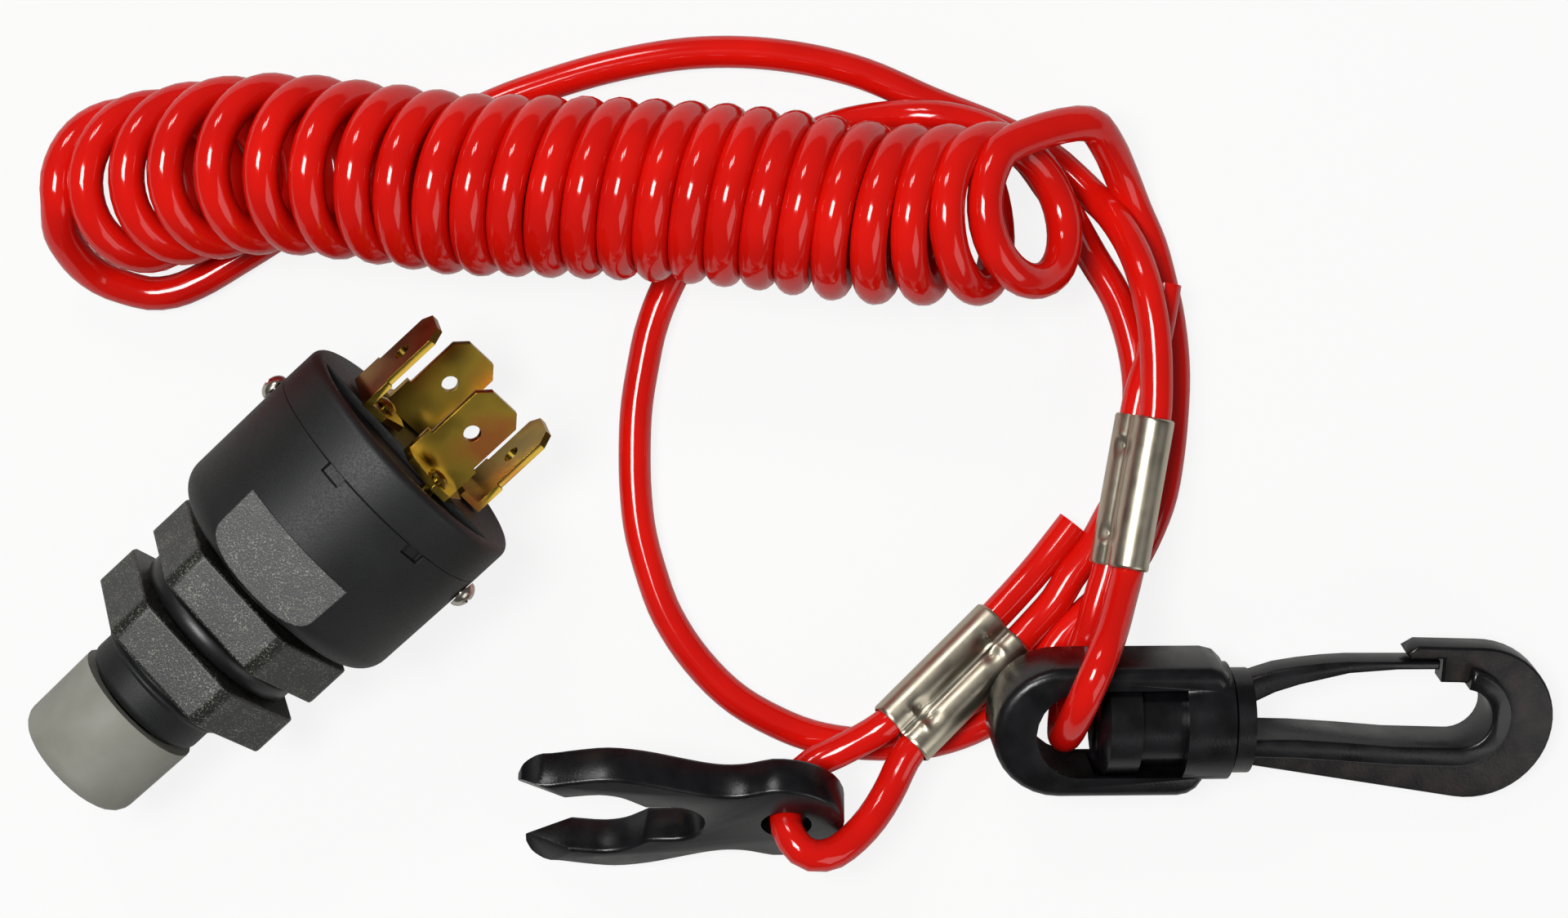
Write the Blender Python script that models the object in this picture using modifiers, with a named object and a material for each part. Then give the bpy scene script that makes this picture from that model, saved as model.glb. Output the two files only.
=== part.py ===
"""Engine kill switch with a coiled lanyard, a fork clip and a swivel snap hook."""

import math

import bmesh
import bpy
from mathutils import Matrix, Vector

# Every size below is in millimetres, and mm turns it into metres
mm = 0.001

# Clearances
fit_gap = 0.3
slide_gap = 0.15
thread_gap = 0.2
press_gap = 0.1
join_overlap = 0.1
cut_overrun = 1.0

# Switch housing, measured forward from its rear rim
housing_length = 21.05
housing_rear_radius = 14.8
housing_taper = 0.2
housing_shoulder = 3.0
housing_flat_chord = 14.2
housing_flat_length = 7.85
flat_wall = 1.5
key_notch_width = 2.5
key_notch_length = 1.2
key_notch_depth = 0.8
key_notch_angles = (-10.0, 37.0, 170.0, 217.0)

# Threaded stem and the nose in front of it
stem_radius = 8.5
stem_length = 16.45
stem_bore_radius = 5.6
nose_radius = 7.45
nose_length = 3.5
nose_rounding = 1.1
gland_radius = 4.8
gland_width = 1.8
gland_place = 0.5
bore_end_wall = 2.0
seal_section = 1.2

# Panel nuts and the rubber washer between them
nut_across_flats = 22.4
nut_thickness = 5.2
nut_corner_band = 1.2
rear_nut_gap = 1.05
washer_radius = 10.2
washer_thickness = 2.2
washer_edge_share = 0.35

# Terminal base
base_depth = 5.1
base_rim_rounding = 1.0
base_recess_depth = 0.9
base_recess_start = 4.7
base_lip = 1.3
spigot_length = 1.9
lug_length = 2.0
lug_width = 4.4
lug_reach = 3.0
lug_setback = 0.5

# Blade terminals: centre of the blade, and which way its foot runs
blade_width = 6.3
blade_shoulder_width = 7.4
blade_thickness = 0.8
blade_shoulder_height = 3.9
blade_hole_height = 6.7
blade_hole_radius = 0.95
blade_height = 11.5
blade_chamfer = 1.3
foot_length = 5.6
foot_taper_start = 2.5
foot_tip_width = 2.2
rivet_reach = 2.9
rivet_head_radius = 1.3
rivet_head_height = 0.7
rivet_shank_radius = 0.8
rivet_contact_radius = 1.4
rivet_contact_thickness = 0.7
terminal_places = (
    (8.6, 26.0, -1.0),
    (6.3, 299.0, 1.0),
    (6.6, 120.0, 1.0),
    (8.6, 207.0, -1.0),
)

# Screws through the shell into the base
screw_head_radius = 1.6
screw_head_height = 1.2
screw_shank_radius = 0.8
screw_place = 6.85
screw_tip_setback = 0.6

# Button, plunger and contacts
button_travel = 5.0
front_stop_gap = 0.8
cap_front_radius = 7.5
cap_rim_radius = 7.7
cap_length = 10.4
cap_rounding = 2.0
cap_wall = 1.5
cap_boss_radius = 5.0
cap_roof = 2.2
cap_boss_setback = 1.0
rod_radius = 3.4
rod_end_gap = 0.4
collar_radius = 5.3
collar_thickness = 1.5
collar_place = 16.0
shaft_radius = 3.0
carrier_radius = 10.0
carrier_thickness = 2.0
bridge_width = 2.6
bridge_thickness = 0.6
bridge_overhang = 0.9
contact_spring_radius = 1.4
contact_spring_wire = 0.35
contact_spring_turns = 3
contact_spring_length = 1.8
return_spring_radius = 4.8
return_spring_wire = 0.8
return_spring_turns = 7

# Where the switch lies: its rear rim centre on the table, heading and tilt
switch_place = (-39.7, 1.18)
switch_heading = 42.3
switch_tilt = 5.8

# Fork clip, measured from its tips
clip_length = 35.3
clip_thickness = 4.3
clip_edge_rounding = 0.4
clip_ring_radius = 7.3
clip_hole_radius = 2.8
clip_hole_place = 28.95
clip_mouth_half_width = 5.75
clip_scoop = ((8.8, 6.25), (11.0, 5.7), (12.6, 4.5))
clip_slot_start = 13.7
clip_slot_end = 20.0
clip_tip_reach = 5.45
clip_tip_width = 2.25
clip_tip_slant = 2.15
clip_knife_inset = 0.25
clip_side = ((0.0, 6.9), (0.6, 7.9), (1.7, 8.35), (3.6, 8.5), (6.5, 9.2), (9.8, 9.7), (13.5, 9.05),
             (17.8, 7.4), (20.2, 6.5), (22.3, 6.05), (24.4, 6.2), (26.5, 6.95))
clip_place = (-28.7, -38.2)
clip_roll = 55.0

# Swivel eye, measured from the hook's base collar towards the cord
eye_length = 28.6
eye_width = 15.2
eye_thickness = 8.0
eye_edge_rounding = 1.1
eye_end_bar = 4.7
eye_opening_half_width = 5.15
eye_opening_end = 7.5
eye_barrel_radius = 6.5
eye_front = 2.45
eye_lower_end = 7.9
eye_lower_corner = 3.0
eye_corner = 2.6
neck_radius = 4.95
head_radius = 5.8
head_length = 4.3
neck_length = 10.5
base_collar_radius = 5.8
base_collar_length = 2.0
neck_split = 2.3
head_chamfer = 0.8
neck_split_root = 1.5

# Snap hook, in the plane of its bow
gate_thickness = 3.1
gate_top = ((-1.0, 5.2), (0.6, 5.8), (2.7, 6.5), (5.4, 6.95), (8.1, 7.25), (10.8, 7.4), (20.9, 7.35))
gate_bottom = ((20.9, 6.4), (16.2, 6.4), (10.8, 6.0), (5.4, 4.7), (2.7, 3.8), (0.0, 2.4), (-1.0, 1.6))
rail_width = 2.1
rail_thickness = 6.5
rail_proud = 0.15
web_edge_rounding = 0.3
web_thickness = 3.2
spine_top = ((-1.0, -1.1), (5.4, -1.3), (10.8, -1.7), (16.2, -2.2))
web_low_start = (-1.0, -4.6)
bow_centre = (25.3, 0.0)
bow_radius = 9.0
bow_inner_centre = (23.4, 1.2)
bow_inner_radius = 3.65
catch_face = 21.2
catch_low = 4.9
nose_tip = (17.0, 8.4)
nose_lead = 1.3
nose_lip = 0.5
nose_under = 7.65
nose_top = 9.2

# Where the swivel hook lies: base collar centre, height, pitch and roll
hook_place = (50.94, -28.76)
hook_height = 6.65
hook_pitch = 5.0
hook_roll = 19.0

# Crimped ferrules: two barrels side by side, each round one strand
barrel_radius = 2.225
barrel_spacing = 3.9
barrel_wall = 0.245
ferrule_length = 16.8
clip_ferrule_top = (24.66, -19.05, 2.9)
clip_ferrule_low = (12.82, -30.45, 6.7)
hook_ferrule_top = (39.78, 4.83, 7.73)
hook_ferrule_low = (36.75, -12.10, 7.73)
hook_ferrule_roll = 63.0

# Cord
cord_radius = 1.8
coil_radius = 9.75
longest_step = 10.0
largest_turn = 24.0

# The coil's middle line, from its left end to its right end
coil_route = ((-79.5, 31.2, 10.6), (-70.0, 31.6, 12.2), (-58.0, 32.0, 13.6), (-40.0, 31.1, 13.65),
              (-20.0, 30.0, 13.65), (0.0, 29.1, 13.65), (12.0, 27.4, 13.65), (24.4, 26.6, 13.65))

# The free cord from the coil's left end to the hook ferrule
left_route = ((-79.9, 29.1, 6.6), (-81.0, 28.3, 5.4), (-81.3, 26.5, 3.6), (-80.9, 24.5, 2.4),
              (-79.6, 22.5, 1.8), (-78.1, 20.9, 1.8), (-76.0, 19.7, 1.8), (-73.8, 18.9, 1.8),
              (-70.8, 18.5, 1.8), (-68.0, 18.8, 1.8), (-64.9, 20.1, 1.8),
              (-61.7, 22.0, 1.8), (-57.5, 24.6, 1.8), (-51.1, 28.9, 1.8), (-44.7, 33.1, 1.8), (-39.3, 36.2, 1.8),
              (-32.9, 39.4, 1.8), (-28.3, 41.2, 1.8), (-19.2, 43.9, 1.8), (-10.0, 45.4, 1.8), (-0.9, 45.2, 1.8),
              (8.2, 43.3, 1.8), (16.7, 39.7, 1.8), (24.2, 36.7, 1.8), (29.6, 33.8, 1.8), (32.2, 31.6, 1.9),
              (34.4, 29.4, 2.5), (36.3, 27.3, 3.9), (38.3, 23.6, 6.4), (39.5, 19.8, 8.5), (40.3, 15.9, 9.2),
              (40.7, 12.3, 9.4), (40.8, 8.4, 9.45))

# The loop through the swivel eye, from the upper barrel to the lower one
eye_loop = ((36.7, -15.1, 11.3), (35.5, -18.4, 14.2), (34.2, -21.3, 16.6), (32.8, -24.5, 16.8), (31.5, -28.0, 14.2),
            (30.9, -30.2, 9.6), (30.9, -30.2, 5.6), (31.2, -28.2, 3.6), (31.7, -25.3, 3.3), (32.7, -22.1, 3.9),
            (33.8, -19.3, 5.4), (34.8, -15.6, 5.8))
hook_free_end = ((39.4, 7.4, 6.0), (40.6, 11.1, 5.7), (41.6, 15.5, 5.6), (42.2, 19.4, 5.6))

# The free cord from the coil's right end, round the table, to the clip ferrule
right_route = ((25.7, 33.4, 14.2), (27.2, 33.8, 14.4), (29.1, 35.2, 14.0), (31.1, 36.7, 12.3),
               (34.0, 36.6, 9.2), (36.3, 34.9, 6.0), (38.1, 31.7, 3.2), (39.7, 27.4, 1.8), (40.9, 23.9, 1.8), (42.1, 19.5, 1.8), (43.0, 15.2, 1.8),
               (43.5, 10.0, 1.8), (43.4, 5.7, 1.8), (42.9, 0.3, 1.8), (42.1, -4.2, 1.8), (40.7, -8.0, 1.8),
               (39.1, -11.1, 1.8), (36.9, -14.1, 1.8), (34.3, -16.8, 1.8), (31.4, -19.3, 1.8), (29.2, -22.5, 1.8),
               (26.4, -26.2, 1.8), (22.5, -29.4, 1.8), (17.3, -31.4, 1.8), (12.9, -31.9, 1.8), (8.2, -31.8, 1.8),
               (3.7, -31.1, 1.8), (0.0, -29.8, 1.8), (-5.5, -26.7, 1.8), (-10.0, -22.2, 1.8), (-13.2, -17.2, 1.8),
               (-14.9, -12.6, 1.8), (-16.1, -8.0, 1.8), (-16.6, -3.5, 1.8), (-16.7, 1.1, 1.8), (-16.5, 5.7, 1.8),
               (-15.8, 10.2, 1.8), (-14.8, 14.8, 1.8), (-12.8, 19.8, 1.8), (-9.0, 26.2, 1.8), (-4.1, 31.2, 1.8),
               (3.8, 36.4, 1.8), (6.8, 37.4, 2.2), (10.1, 37.9, 3.4), (13.4, 38.0, 4.9), (16.7, 37.9, 5.6),
               (20.1, 37.3, 5.6), (23.2, 36.1, 5.6), (26.8, 33.5, 5.5), (29.5, 29.9, 5.3), (31.1, 27.8, 4.8),
               (32.4, 25.8, 3.6), (34.5, 22.5, 1.9), (37.2, 18.0, 1.8), (38.9, 13.0, 1.8), (39.6, 8.4, 1.8),
               (39.5, 5.1, 1.8), (38.9, 0.2, 1.8), (38.0, -3.5, 1.8), (36.4, -6.4, 1.8), (34.2, -10.3, 2.2),
               (32.1, -12.9, 2.3), (30.4, -15.7, 2.3), (28.2, -18.2, 2.4))

# The loop through the fork clip's hole, from the lower right barrel to the other
clip_loop = ((12.35, -34.45, 6.9), (11.1, -38.1, 7.2), (8.8, -41.3, 8.8), (5.5, -43.3, 10.8), (2.4, -42.9, 12.0),
             (0.5, -40.75, 11.3), (0.25, -38.3, 9.4), (0.9, -36.0, 7.3), (2.9, -33.9, 6.0), (6.9, -31.9, 6.1))
clip_free_end = ((28.1, -12.5, 1.9), (32.3, -7.2, 1.8))

# Shift from the middle of the table view to the part's own origin
origin_shift = (-1.62, 15.03)


def material(name, colour, roughness, metallic=0.0):
    """A plain Principled material from an sRGB colour."""
    linear = [c / 12.92 if c <= 0.04045 else ((c + 0.055) / 1.055) ** 2.4 for c in colour]
    made = bpy.data.materials.new(name)
    made.use_nodes = True
    made.diffuse_color = (*linear, 1.0)
    shader = made.node_tree.nodes["Principled BSDF"]
    shader.inputs["Base Color"].default_value = (*linear, 1.0)
    shader.inputs["Roughness"].default_value = roughness
    shader.inputs["Metallic"].default_value = metallic
    return made


def collection(name):
    made = bpy.data.collections.new(name)
    bpy.context.scene.collection.children.link(made)
    return made


def place(name, mesh, look, parent):
    """Put a mesh into the part's collection, under its frame."""
    made = bpy.data.objects.new(name, mesh)
    parts.objects.link(made)
    made.parent = parent
    if look:
        mesh.materials.clear()
        mesh.materials.append(look)
    return made


def cutter(name, mesh, parent):
    """A mesh that only cuts or joins another piece."""
    made = bpy.data.objects.new(name, mesh)
    cutters.objects.link(made)
    made.parent = parent
    made.hide_render = True
    made.display_type = "WIRE"
    return made


def frame(name, matrix, parent=None):
    made = bpy.data.objects.new(name, None)
    parts.objects.link(made)
    made.empty_display_size = 5 * mm
    made.parent = parent
    made.matrix_local = matrix
    return made


def combine(target, tool, operation):
    boolean = target.modifiers.new(f"{operation.lower()} {tool.name}", "BOOLEAN")
    boolean.object = tool
    boolean.operation = operation
    boolean.solver = "EXACT"
    return boolean


def bevel(target, width, segments=2):
    """Round a plate's two outlines, which rounded_plate_mesh gives the bevel weight."""
    rounding = target.modifiers.new("rounded edges", "BEVEL")
    rounding.width = width * mm
    rounding.segments = segments
    rounding.limit_method = "WEIGHT"
    rounding.use_clamp_overlap = False
    rounding.loop_slide = False
    return rounding


def box_mesh(name, low, high):
    bm = bmesh.new()
    bmesh.ops.create_cube(bm, size=1.0)
    size = [(b - a) * mm for a, b in zip(low, high)]
    middle = [(a + b) / 2 * mm for a, b in zip(low, high)]
    bmesh.ops.scale(bm, vec=size, verts=bm.verts)
    bmesh.ops.translate(bm, vec=middle, verts=bm.verts)
    mesh = bpy.data.meshes.new(name)
    bm.to_mesh(mesh)
    bm.free()
    return mesh


def rod_mesh(name, radius, low, high, sides=32):
    """A cylinder along local Z."""
    bm = bmesh.new()
    bmesh.ops.create_cone(bm, cap_ends=True, segments=sides, radius1=radius * mm, radius2=radius * mm,
                          depth=(high - low) * mm)
    bmesh.ops.translate(bm, vec=(0, 0, (low + high) / 2 * mm), verts=bm.verts)
    mesh = bpy.data.meshes.new(name)
    bm.to_mesh(mesh)
    bm.free()
    return mesh


def arc(centre, radius, start, end, count):
    """Points round an arc, in degrees, both ends included."""
    angles = [math.radians(start + (end - start) * i / count) for i in range(count + 1)]
    return [(centre[0] + radius * math.cos(a), centre[1] + radius * math.sin(a)) for a in angles]


def turn(made, profile, steps, closed):
    """Turn a profile of (radius, height) points round local Z with a Screw modifier."""
    mesh = made.data
    vertices = [(r * mm, 0.0, z * mm) for r, z in profile]
    edges = [(i, i + 1) for i in range(len(profile) - 1)]
    if closed:
        edges.append((len(profile) - 1, 0))
    mesh.from_pydata(vertices, edges, [])
    screw = made.modifiers.new("turned", "SCREW")
    screw.axis = "Z"
    screw.angle = math.tau
    screw.steps = steps
    screw.render_steps = steps
    screw.use_merge_vertices = True
    screw.merge_threshold = 0.000001
    screw.use_smooth_shade = False
    return made


def turned(name, profile, steps, look, parent, closed=False):
    return turn(place(name, bpy.data.meshes.new(name), look, parent), profile, steps, closed)


def turned_cutter(name, profile, steps, parent, closed=False):
    return turn(cutter(name, bpy.data.meshes.new(name), parent), profile, steps, closed)


def curve_mesh(made):
    """Mesh of a curve object with its loose caps welded."""
    bpy.context.view_layer.update()
    evaluated = made.evaluated_get(bpy.context.evaluated_depsgraph_get())
    mesh = bpy.data.meshes.new_from_object(evaluated)
    data = made.data
    bpy.data.objects.remove(made)
    bpy.data.curves.remove(data)
    bm = bmesh.new()
    bm.from_mesh(mesh)
    bmesh.ops.remove_doubles(bm, verts=bm.verts, dist=0.000001)
    bmesh.ops.recalc_face_normals(bm, faces=bm.faces)
    bm.to_mesh(mesh)
    bm.free()
    return mesh


def plate_mesh(name, loops, thickness):
    """A flat outline with holes, extruded evenly about its own plane."""
    data = bpy.data.curves.new(name, "CURVE")
    data.dimensions = "2D"
    data.fill_mode = "BOTH"
    data.extrude = thickness / 2 * mm
    for loop in loops:
        spline = data.splines.new("POLY")
        spline.points.add(len(loop) - 1)
        for point, (x, y) in zip(spline.points, loop):
            point.co = (x * mm, y * mm, 0.0, 1.0)
        spline.use_cyclic_u = True
    made = bpy.data.objects.new(name, data)
    cutters.objects.link(made)
    mesh = curve_mesh(made)
    mesh.name = name
    return mesh


def rounded_plate_mesh(name, outline, thickness):
    """A plate without holes, its two outlines weighted for a Bevel."""
    mesh = plate_mesh(name, [outline], thickness)
    bm = bmesh.new()
    bm.from_mesh(mesh)
    inner = [e for e in bm.edges if e.calc_face_angle(0.0) < 0.001]
    bmesh.ops.dissolve_limit(bm, angle_limit=0.001, verts=[], edges=inner)
    weight = bm.edges.layers.float.new("bevel_weight_edge")
    for edge in bm.edges:
        level = abs(edge.verts[0].co.z - edge.verts[1].co.z) < 0.01 * mm
        if level and edge.calc_face_angle(0.0) > 1.0:
            edge[weight] = 1.0
    bm.to_mesh(mesh)
    bm.free()
    return mesh


def smooth_line(points, samples=16):
    """Points along a smooth curve through the given ones."""
    points = [Vector(p) for p in points]
    points = [2 * points[0] - points[1], *points, 2 * points[-1] - points[-2]]
    line = []
    for p0, p1, p2, p3 in zip(points, points[1:], points[2:], points[3:]):
        t1 = math.sqrt((p1 - p0).length)
        t2 = t1 + math.sqrt((p2 - p1).length)
        t3 = t2 + math.sqrt((p3 - p2).length)
        for i in range(samples):
            t = t1 + (t2 - t1) * i / samples
            a1 = p0.lerp(p1, t / t1)
            a2 = p1.lerp(p2, (t - t1) / (t2 - t1))
            a3 = p2.lerp(p3, (t - t2) / (t3 - t2))
            b1 = a1.lerp(a2, t / t2)
            b2 = a2.lerp(a3, (t - t1) / (t3 - t1))
            line.append(b1.lerp(b2, (t - t1) / (t2 - t1)))
    line.append(points[-2])
    return line


def thinned(line, step, turn_limit):
    """Keep a point each time the line has run one step or turned by the limit."""
    kept = [line[0]]
    run = 0.0
    turned_by = 0.0
    for before, here, after in zip(line, line[1:], line[2:]):
        run += (here - before).length
        turned_by += math.degrees((here - before).angle(after - here, 0.0))
        if run >= step or turned_by >= turn_limit:
            kept.append(here)
            run = 0.0
            turned_by = 0.0
    if (line[-1] - kept[-1]).length < step / 4 and len(kept) > 1:
        kept.pop()
    kept.append(line[-1])
    return kept


def tube(name, points, radius, look, parent, resolution=2):
    """A round tube with filled caps on a POLY spline."""
    data = bpy.data.curves.new(name, "CURVE")
    data.dimensions = "3D"
    data.bevel_depth = radius * mm
    data.bevel_resolution = resolution
    data.use_fill_caps = True
    spline = data.splines.new("POLY")
    spline.points.add(len(points) - 1)
    for point, place_at in zip(spline.points, points):
        point.co = (*(Vector(place_at) * mm), 1.0)
    data.materials.append(look)
    made = bpy.data.objects.new(name, data)
    parts.objects.link(made)
    made.parent = parent
    return made


def spring(name, radius, wire, low, high, turns, centre, look, parent):
    """A round-wire compression spring along local Z."""
    per_turn = 9
    count = turns * per_turn
    points = []
    for i in range(count + 1):
        angle = math.tau * i / per_turn
        height = low + wire / 2 + (high - low - wire) * i / count
        points.append((centre[0] + radius * math.cos(angle), centre[1] + radius * math.sin(angle), height))
    return tube(name, points, wire / 2, look, parent, resolution=1)


# Places along the switch axis, forward is negative
seam = -base_depth
housing_front = -housing_length
stem_front = housing_front - stem_length
nose_front = stem_front - nose_length
housing_front_radius = housing_rear_radius - housing_taper
flat_height = math.sqrt(housing_front_radius ** 2 - (housing_flat_chord / 2) ** 2)
cavity_radius = flat_height - flat_wall
nose_bore_radius = rod_radius + slide_gap
bore_front = stem_front + bore_end_wall
spigot_radius = cavity_radius - fit_gap
spigot_front = seam - spigot_length
contact_back = spigot_front - fit_gap
contact_front = contact_back - rivet_contact_thickness
bridge_back = contact_front - fit_gap
bridge_front = bridge_back - bridge_thickness
cap_rim = nose_front - fit_gap
cap_front = cap_rim - cap_length
foot_back = fit_gap + blade_thickness
carrier_back = bridge_front - contact_spring_length - 2 * thread_gap
cavity_front = carrier_back - carrier_thickness - button_travel - front_stop_gap
collar_back = -collar_place


def make_front_shell(look, parent):
    """Cup, threaded stem and nose in one moulding, bored for the plunger."""
    fillet = arc((housing_front_radius - housing_shoulder, housing_front + housing_shoulder), housing_shoulder,
                 0, -90, 4)
    rounding = arc((nose_radius - nose_rounding, nose_front + nose_rounding), nose_rounding, 0, -90, 3)
    gland_back = stem_front - gland_place + gland_width / 2
    gland_front = gland_back - gland_width
    profile = [(housing_rear_radius, seam - fit_gap / 2)]
    profile += fillet
    profile += [(stem_radius, housing_front), (stem_radius, stem_front), (nose_radius, stem_front)]
    profile += rounding
    profile += [(nose_bore_radius, nose_front), (nose_bore_radius, gland_front), (gland_radius, gland_front),
                (gland_radius, gland_back), (nose_bore_radius, gland_back), (nose_bore_radius, bore_front),
                (stem_bore_radius, bore_front), (stem_bore_radius, cavity_front),
                (cavity_radius, cavity_front), (cavity_radius, seam - fit_gap / 2)]
    shell = turned("front_shell", profile, 36, look, parent, closed=True)
    reach = housing_rear_radius + cut_overrun
    flat_back = housing_front + housing_flat_length
    for side in (-1, 1):
        low, high = sorted((side * flat_height, side * reach))
        flat = cutter(f"shell flat {side}", box_mesh("flat", (-reach, low, housing_front - press_gap),
                                                     (reach, high, flat_back)), parent)
        combine(shell, flat, "DIFFERENCE")
    for angle in key_notch_angles:
        notch = cutter(f"key notch {angle:.0f}",
                       box_mesh("notch", (-key_notch_width / 2, housing_rear_radius - key_notch_depth,
                                          seam - key_notch_length), (key_notch_width / 2, reach, seam + cut_overrun)), parent)
        notch.rotation_euler = (0, 0, math.radians(angle))
        combine(shell, notch, "DIFFERENCE")
    cut_screw_holes(shell, parent)
    return shell


def cut_screw_holes(target, parent):
    """Clearance holes for the two side screws, from outside into the lugs."""
    inner = spigot_radius - lug_setback - lug_reach - cut_overrun
    for side in (-1, 1):
        hole = cutter(f"{target.name} screw hole {side}",
                      rod_mesh("hole", screw_shank_radius + thread_gap, inner,
                                       housing_rear_radius + cut_overrun, 16), parent)
        hole.rotation_euler = (0, side * math.pi / 2, 0)
        hole.location = (0, 0, -screw_place * mm)
        combine(target, hole, "DIFFERENCE")


def rivet_place(radius, angle, way):
    """Centre of a terminal's rivet in the rear view."""
    reach = radius + way * rivet_reach
    return (reach * math.cos(math.radians(angle)), reach * math.sin(math.radians(angle)))


def make_terminal_base(look, parent):
    """Rear disc with its rim, spigot, screw lugs, recess and rivet holes."""
    edge = arc((housing_rear_radius - base_rim_rounding, -base_rim_rounding), base_rim_rounding, 90, 0, 3)
    profile = [(0, 0), *edge, (housing_rear_radius, seam + fit_gap / 2), (spigot_radius, seam + fit_gap / 2),
               (spigot_radius, spigot_front), (0, spigot_front)]
    base = turned("terminal_base", profile, 36, look, parent)
    lug_outer = spigot_radius - lug_setback
    for side in (-1, 1):
        low, high = sorted((side * lug_outer, side * (lug_outer - lug_reach)))
        lug = cutter(f"screw lug {side}", box_mesh("lug", (low, -lug_width / 2, spigot_front - lug_length),
                                                   (high, lug_width / 2, spigot_front + join_overlap)), parent)
        combine(base, lug, "UNION")
    recess_radius = housing_rear_radius - base_lip
    half_angle = math.degrees(math.acos(base_recess_start / recess_radius))
    outline = arc((0, 0), recess_radius, 90 - half_angle, 90 + half_angle, 14)
    recess = cutter("rear recess", plate_mesh("recess", [outline], 2 * base_recess_depth), parent)
    combine(base, recess, "DIFFERENCE")
    for number, (radius, angle, way) in enumerate(terminal_places, 1):
        x, y = rivet_place(radius, angle, way)
        hole = cutter(f"rivet hole {number}", rod_mesh("hole", rivet_shank_radius + thread_gap,
                                                       spigot_front - cut_overrun, cut_overrun, 16), parent)
        hole.location = (x * mm, y * mm, 0)
        combine(base, hole, "DIFFERENCE")
    cut_screw_holes(base, parent)
    return base


def make_terminal(number, radius, angle, way, look, parent):
    """A blade with its shoulders, hole and chamfered tip, bent over into a riveted foot."""
    half = blade_width / 2
    wide = blade_shoulder_width / 2
    outline = [(-wide, fit_gap), (wide, fit_gap), (wide, blade_shoulder_height), (half, blade_shoulder_height),
               (half, blade_height - blade_chamfer), (half - blade_chamfer, blade_height),
               (blade_chamfer - half, blade_height), (-half, blade_height - blade_chamfer),
               (-half, blade_shoulder_height), (-wide, blade_shoulder_height)]
    hole = arc((0, blade_hole_height), blade_hole_radius, 0, 337.5, 15)
    blade = place(f"terminal_{number}", plate_mesh("blade", [outline, hole], blade_thickness), look, parent)
    turn_out = math.radians(angle)
    outward = Vector((math.cos(turn_out), math.sin(turn_out), 0))
    along = Vector((-math.sin(turn_out), math.cos(turn_out), 0))
    up = Vector((0, 0, 1))
    turn_matrix = Matrix((along, up, along.cross(up))).transposed().to_4x4()
    blade.matrix_local = Matrix.Translation(outward * radius * mm) @ turn_matrix
    start = blade_thickness / 2
    foot_outline = [(-start, -wide), (foot_taper_start, -wide), (foot_length, -foot_tip_width / 2),
                    (foot_length, foot_tip_width / 2), (foot_taper_start, wide), (-start, wide)]
    foot_hole = arc((rivet_reach, 0), rivet_shank_radius + thread_gap, 0, 330, 11)
    foot = cutter(f"foot {number}", plate_mesh("foot", [foot_outline, foot_hole], blade_thickness), parent)
    foot.rotation_euler = (0, 0, turn_out if way > 0 else turn_out + math.pi)
    foot.location = outward * radius * mm + Vector((0, 0, (fit_gap + blade_thickness / 2) * mm))
    combine(blade, foot, "UNION")
    return blade


def make_rivet(number, radius, angle, way, look, parent):
    """Domed head on the foot, shank through the base and a contact face inside."""
    head_back = foot_back + fit_gap / 2
    dome = [(rivet_head_radius * math.sin(math.radians(a)),
             head_back + rivet_head_height * math.cos(math.radians(a))) for a in (0, 30, 60, 90)]
    profile = [*dome, (rivet_shank_radius, head_back), (rivet_shank_radius, contact_back),
               (rivet_contact_radius, contact_back), (rivet_contact_radius, contact_front), (0, contact_front)]
    rivet = turned(f"terminal_rivet_{number}", profile, 16, look, parent)
    x, y = rivet_place(radius, angle, way)
    rivet.location = (x * mm, y * mm, 0)
    return rivet


def make_side_screw(number, side, look, parent):
    """Round-headed screw, its axis across the switch."""
    seat = housing_rear_radius - housing_taper / 4 + fit_gap / 2
    inner = spigot_radius - lug_setback - lug_reach + screw_tip_setback
    dome = [(screw_head_radius * math.sin(math.radians(a)),
             seat + screw_head_height * math.cos(math.radians(a))) for a in (0, 30, 60, 90)]
    profile = [*dome, (screw_shank_radius, seat), (screw_shank_radius, inner), (0, inner)]
    screw = turned(f"side_screw_{number}", profile, 20, look, parent)
    screw.rotation_euler = (0, side * math.pi / 2, 0)
    screw.location = (0, 0, -screw_place * mm)
    return screw


def make_nut(name, back, look, parent):
    """Hexagon with a narrow flat band down each corner and one face up."""
    apothem = nut_across_flats / 2
    half_face = (apothem - nut_corner_band) / math.sqrt(3)
    outline = []
    for face in range(6):
        middle = math.radians(90 + 60 * face)
        for across in (-half_face, half_face):
            outline.append((apothem * math.cos(middle) - across * math.sin(middle),
                            apothem * math.sin(middle) + across * math.cos(middle)))
    bore = arc((0, 0), stem_radius + thread_gap, 0, 350, 35)
    nut = place(name, plate_mesh(name, [outline, bore], nut_thickness), look, parent)
    nut.location = (0, 0, (back - nut_thickness / 2) * mm)
    return nut


def make_washer(back, look, parent):
    """Rubber ring between the panel and the front nut."""
    inner = stem_radius + thread_gap
    middle = back - washer_thickness / 2
    half = washer_thickness / 2
    ease = half * washer_edge_share
    profile = [(washer_radius - ease, half), (washer_radius, half - ease), (washer_radius, ease - half),
               (washer_radius - ease, -half), (inner, -half), (inner, half)]
    washer = turned("panel_gasket", profile, 36, look, parent, closed=True)
    washer.location = (0, 0, middle * mm)
    return washer


def make_seal(look, parent):
    """O-ring in the nose, round the plunger rod."""
    centre = (nose_bore_radius + gland_radius) / 2
    profile = arc((centre, stem_front - gland_place), seal_section / 2, 0, -315, 7)
    return turned("stem_seal", profile, 24, look, parent, closed=True)


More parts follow.
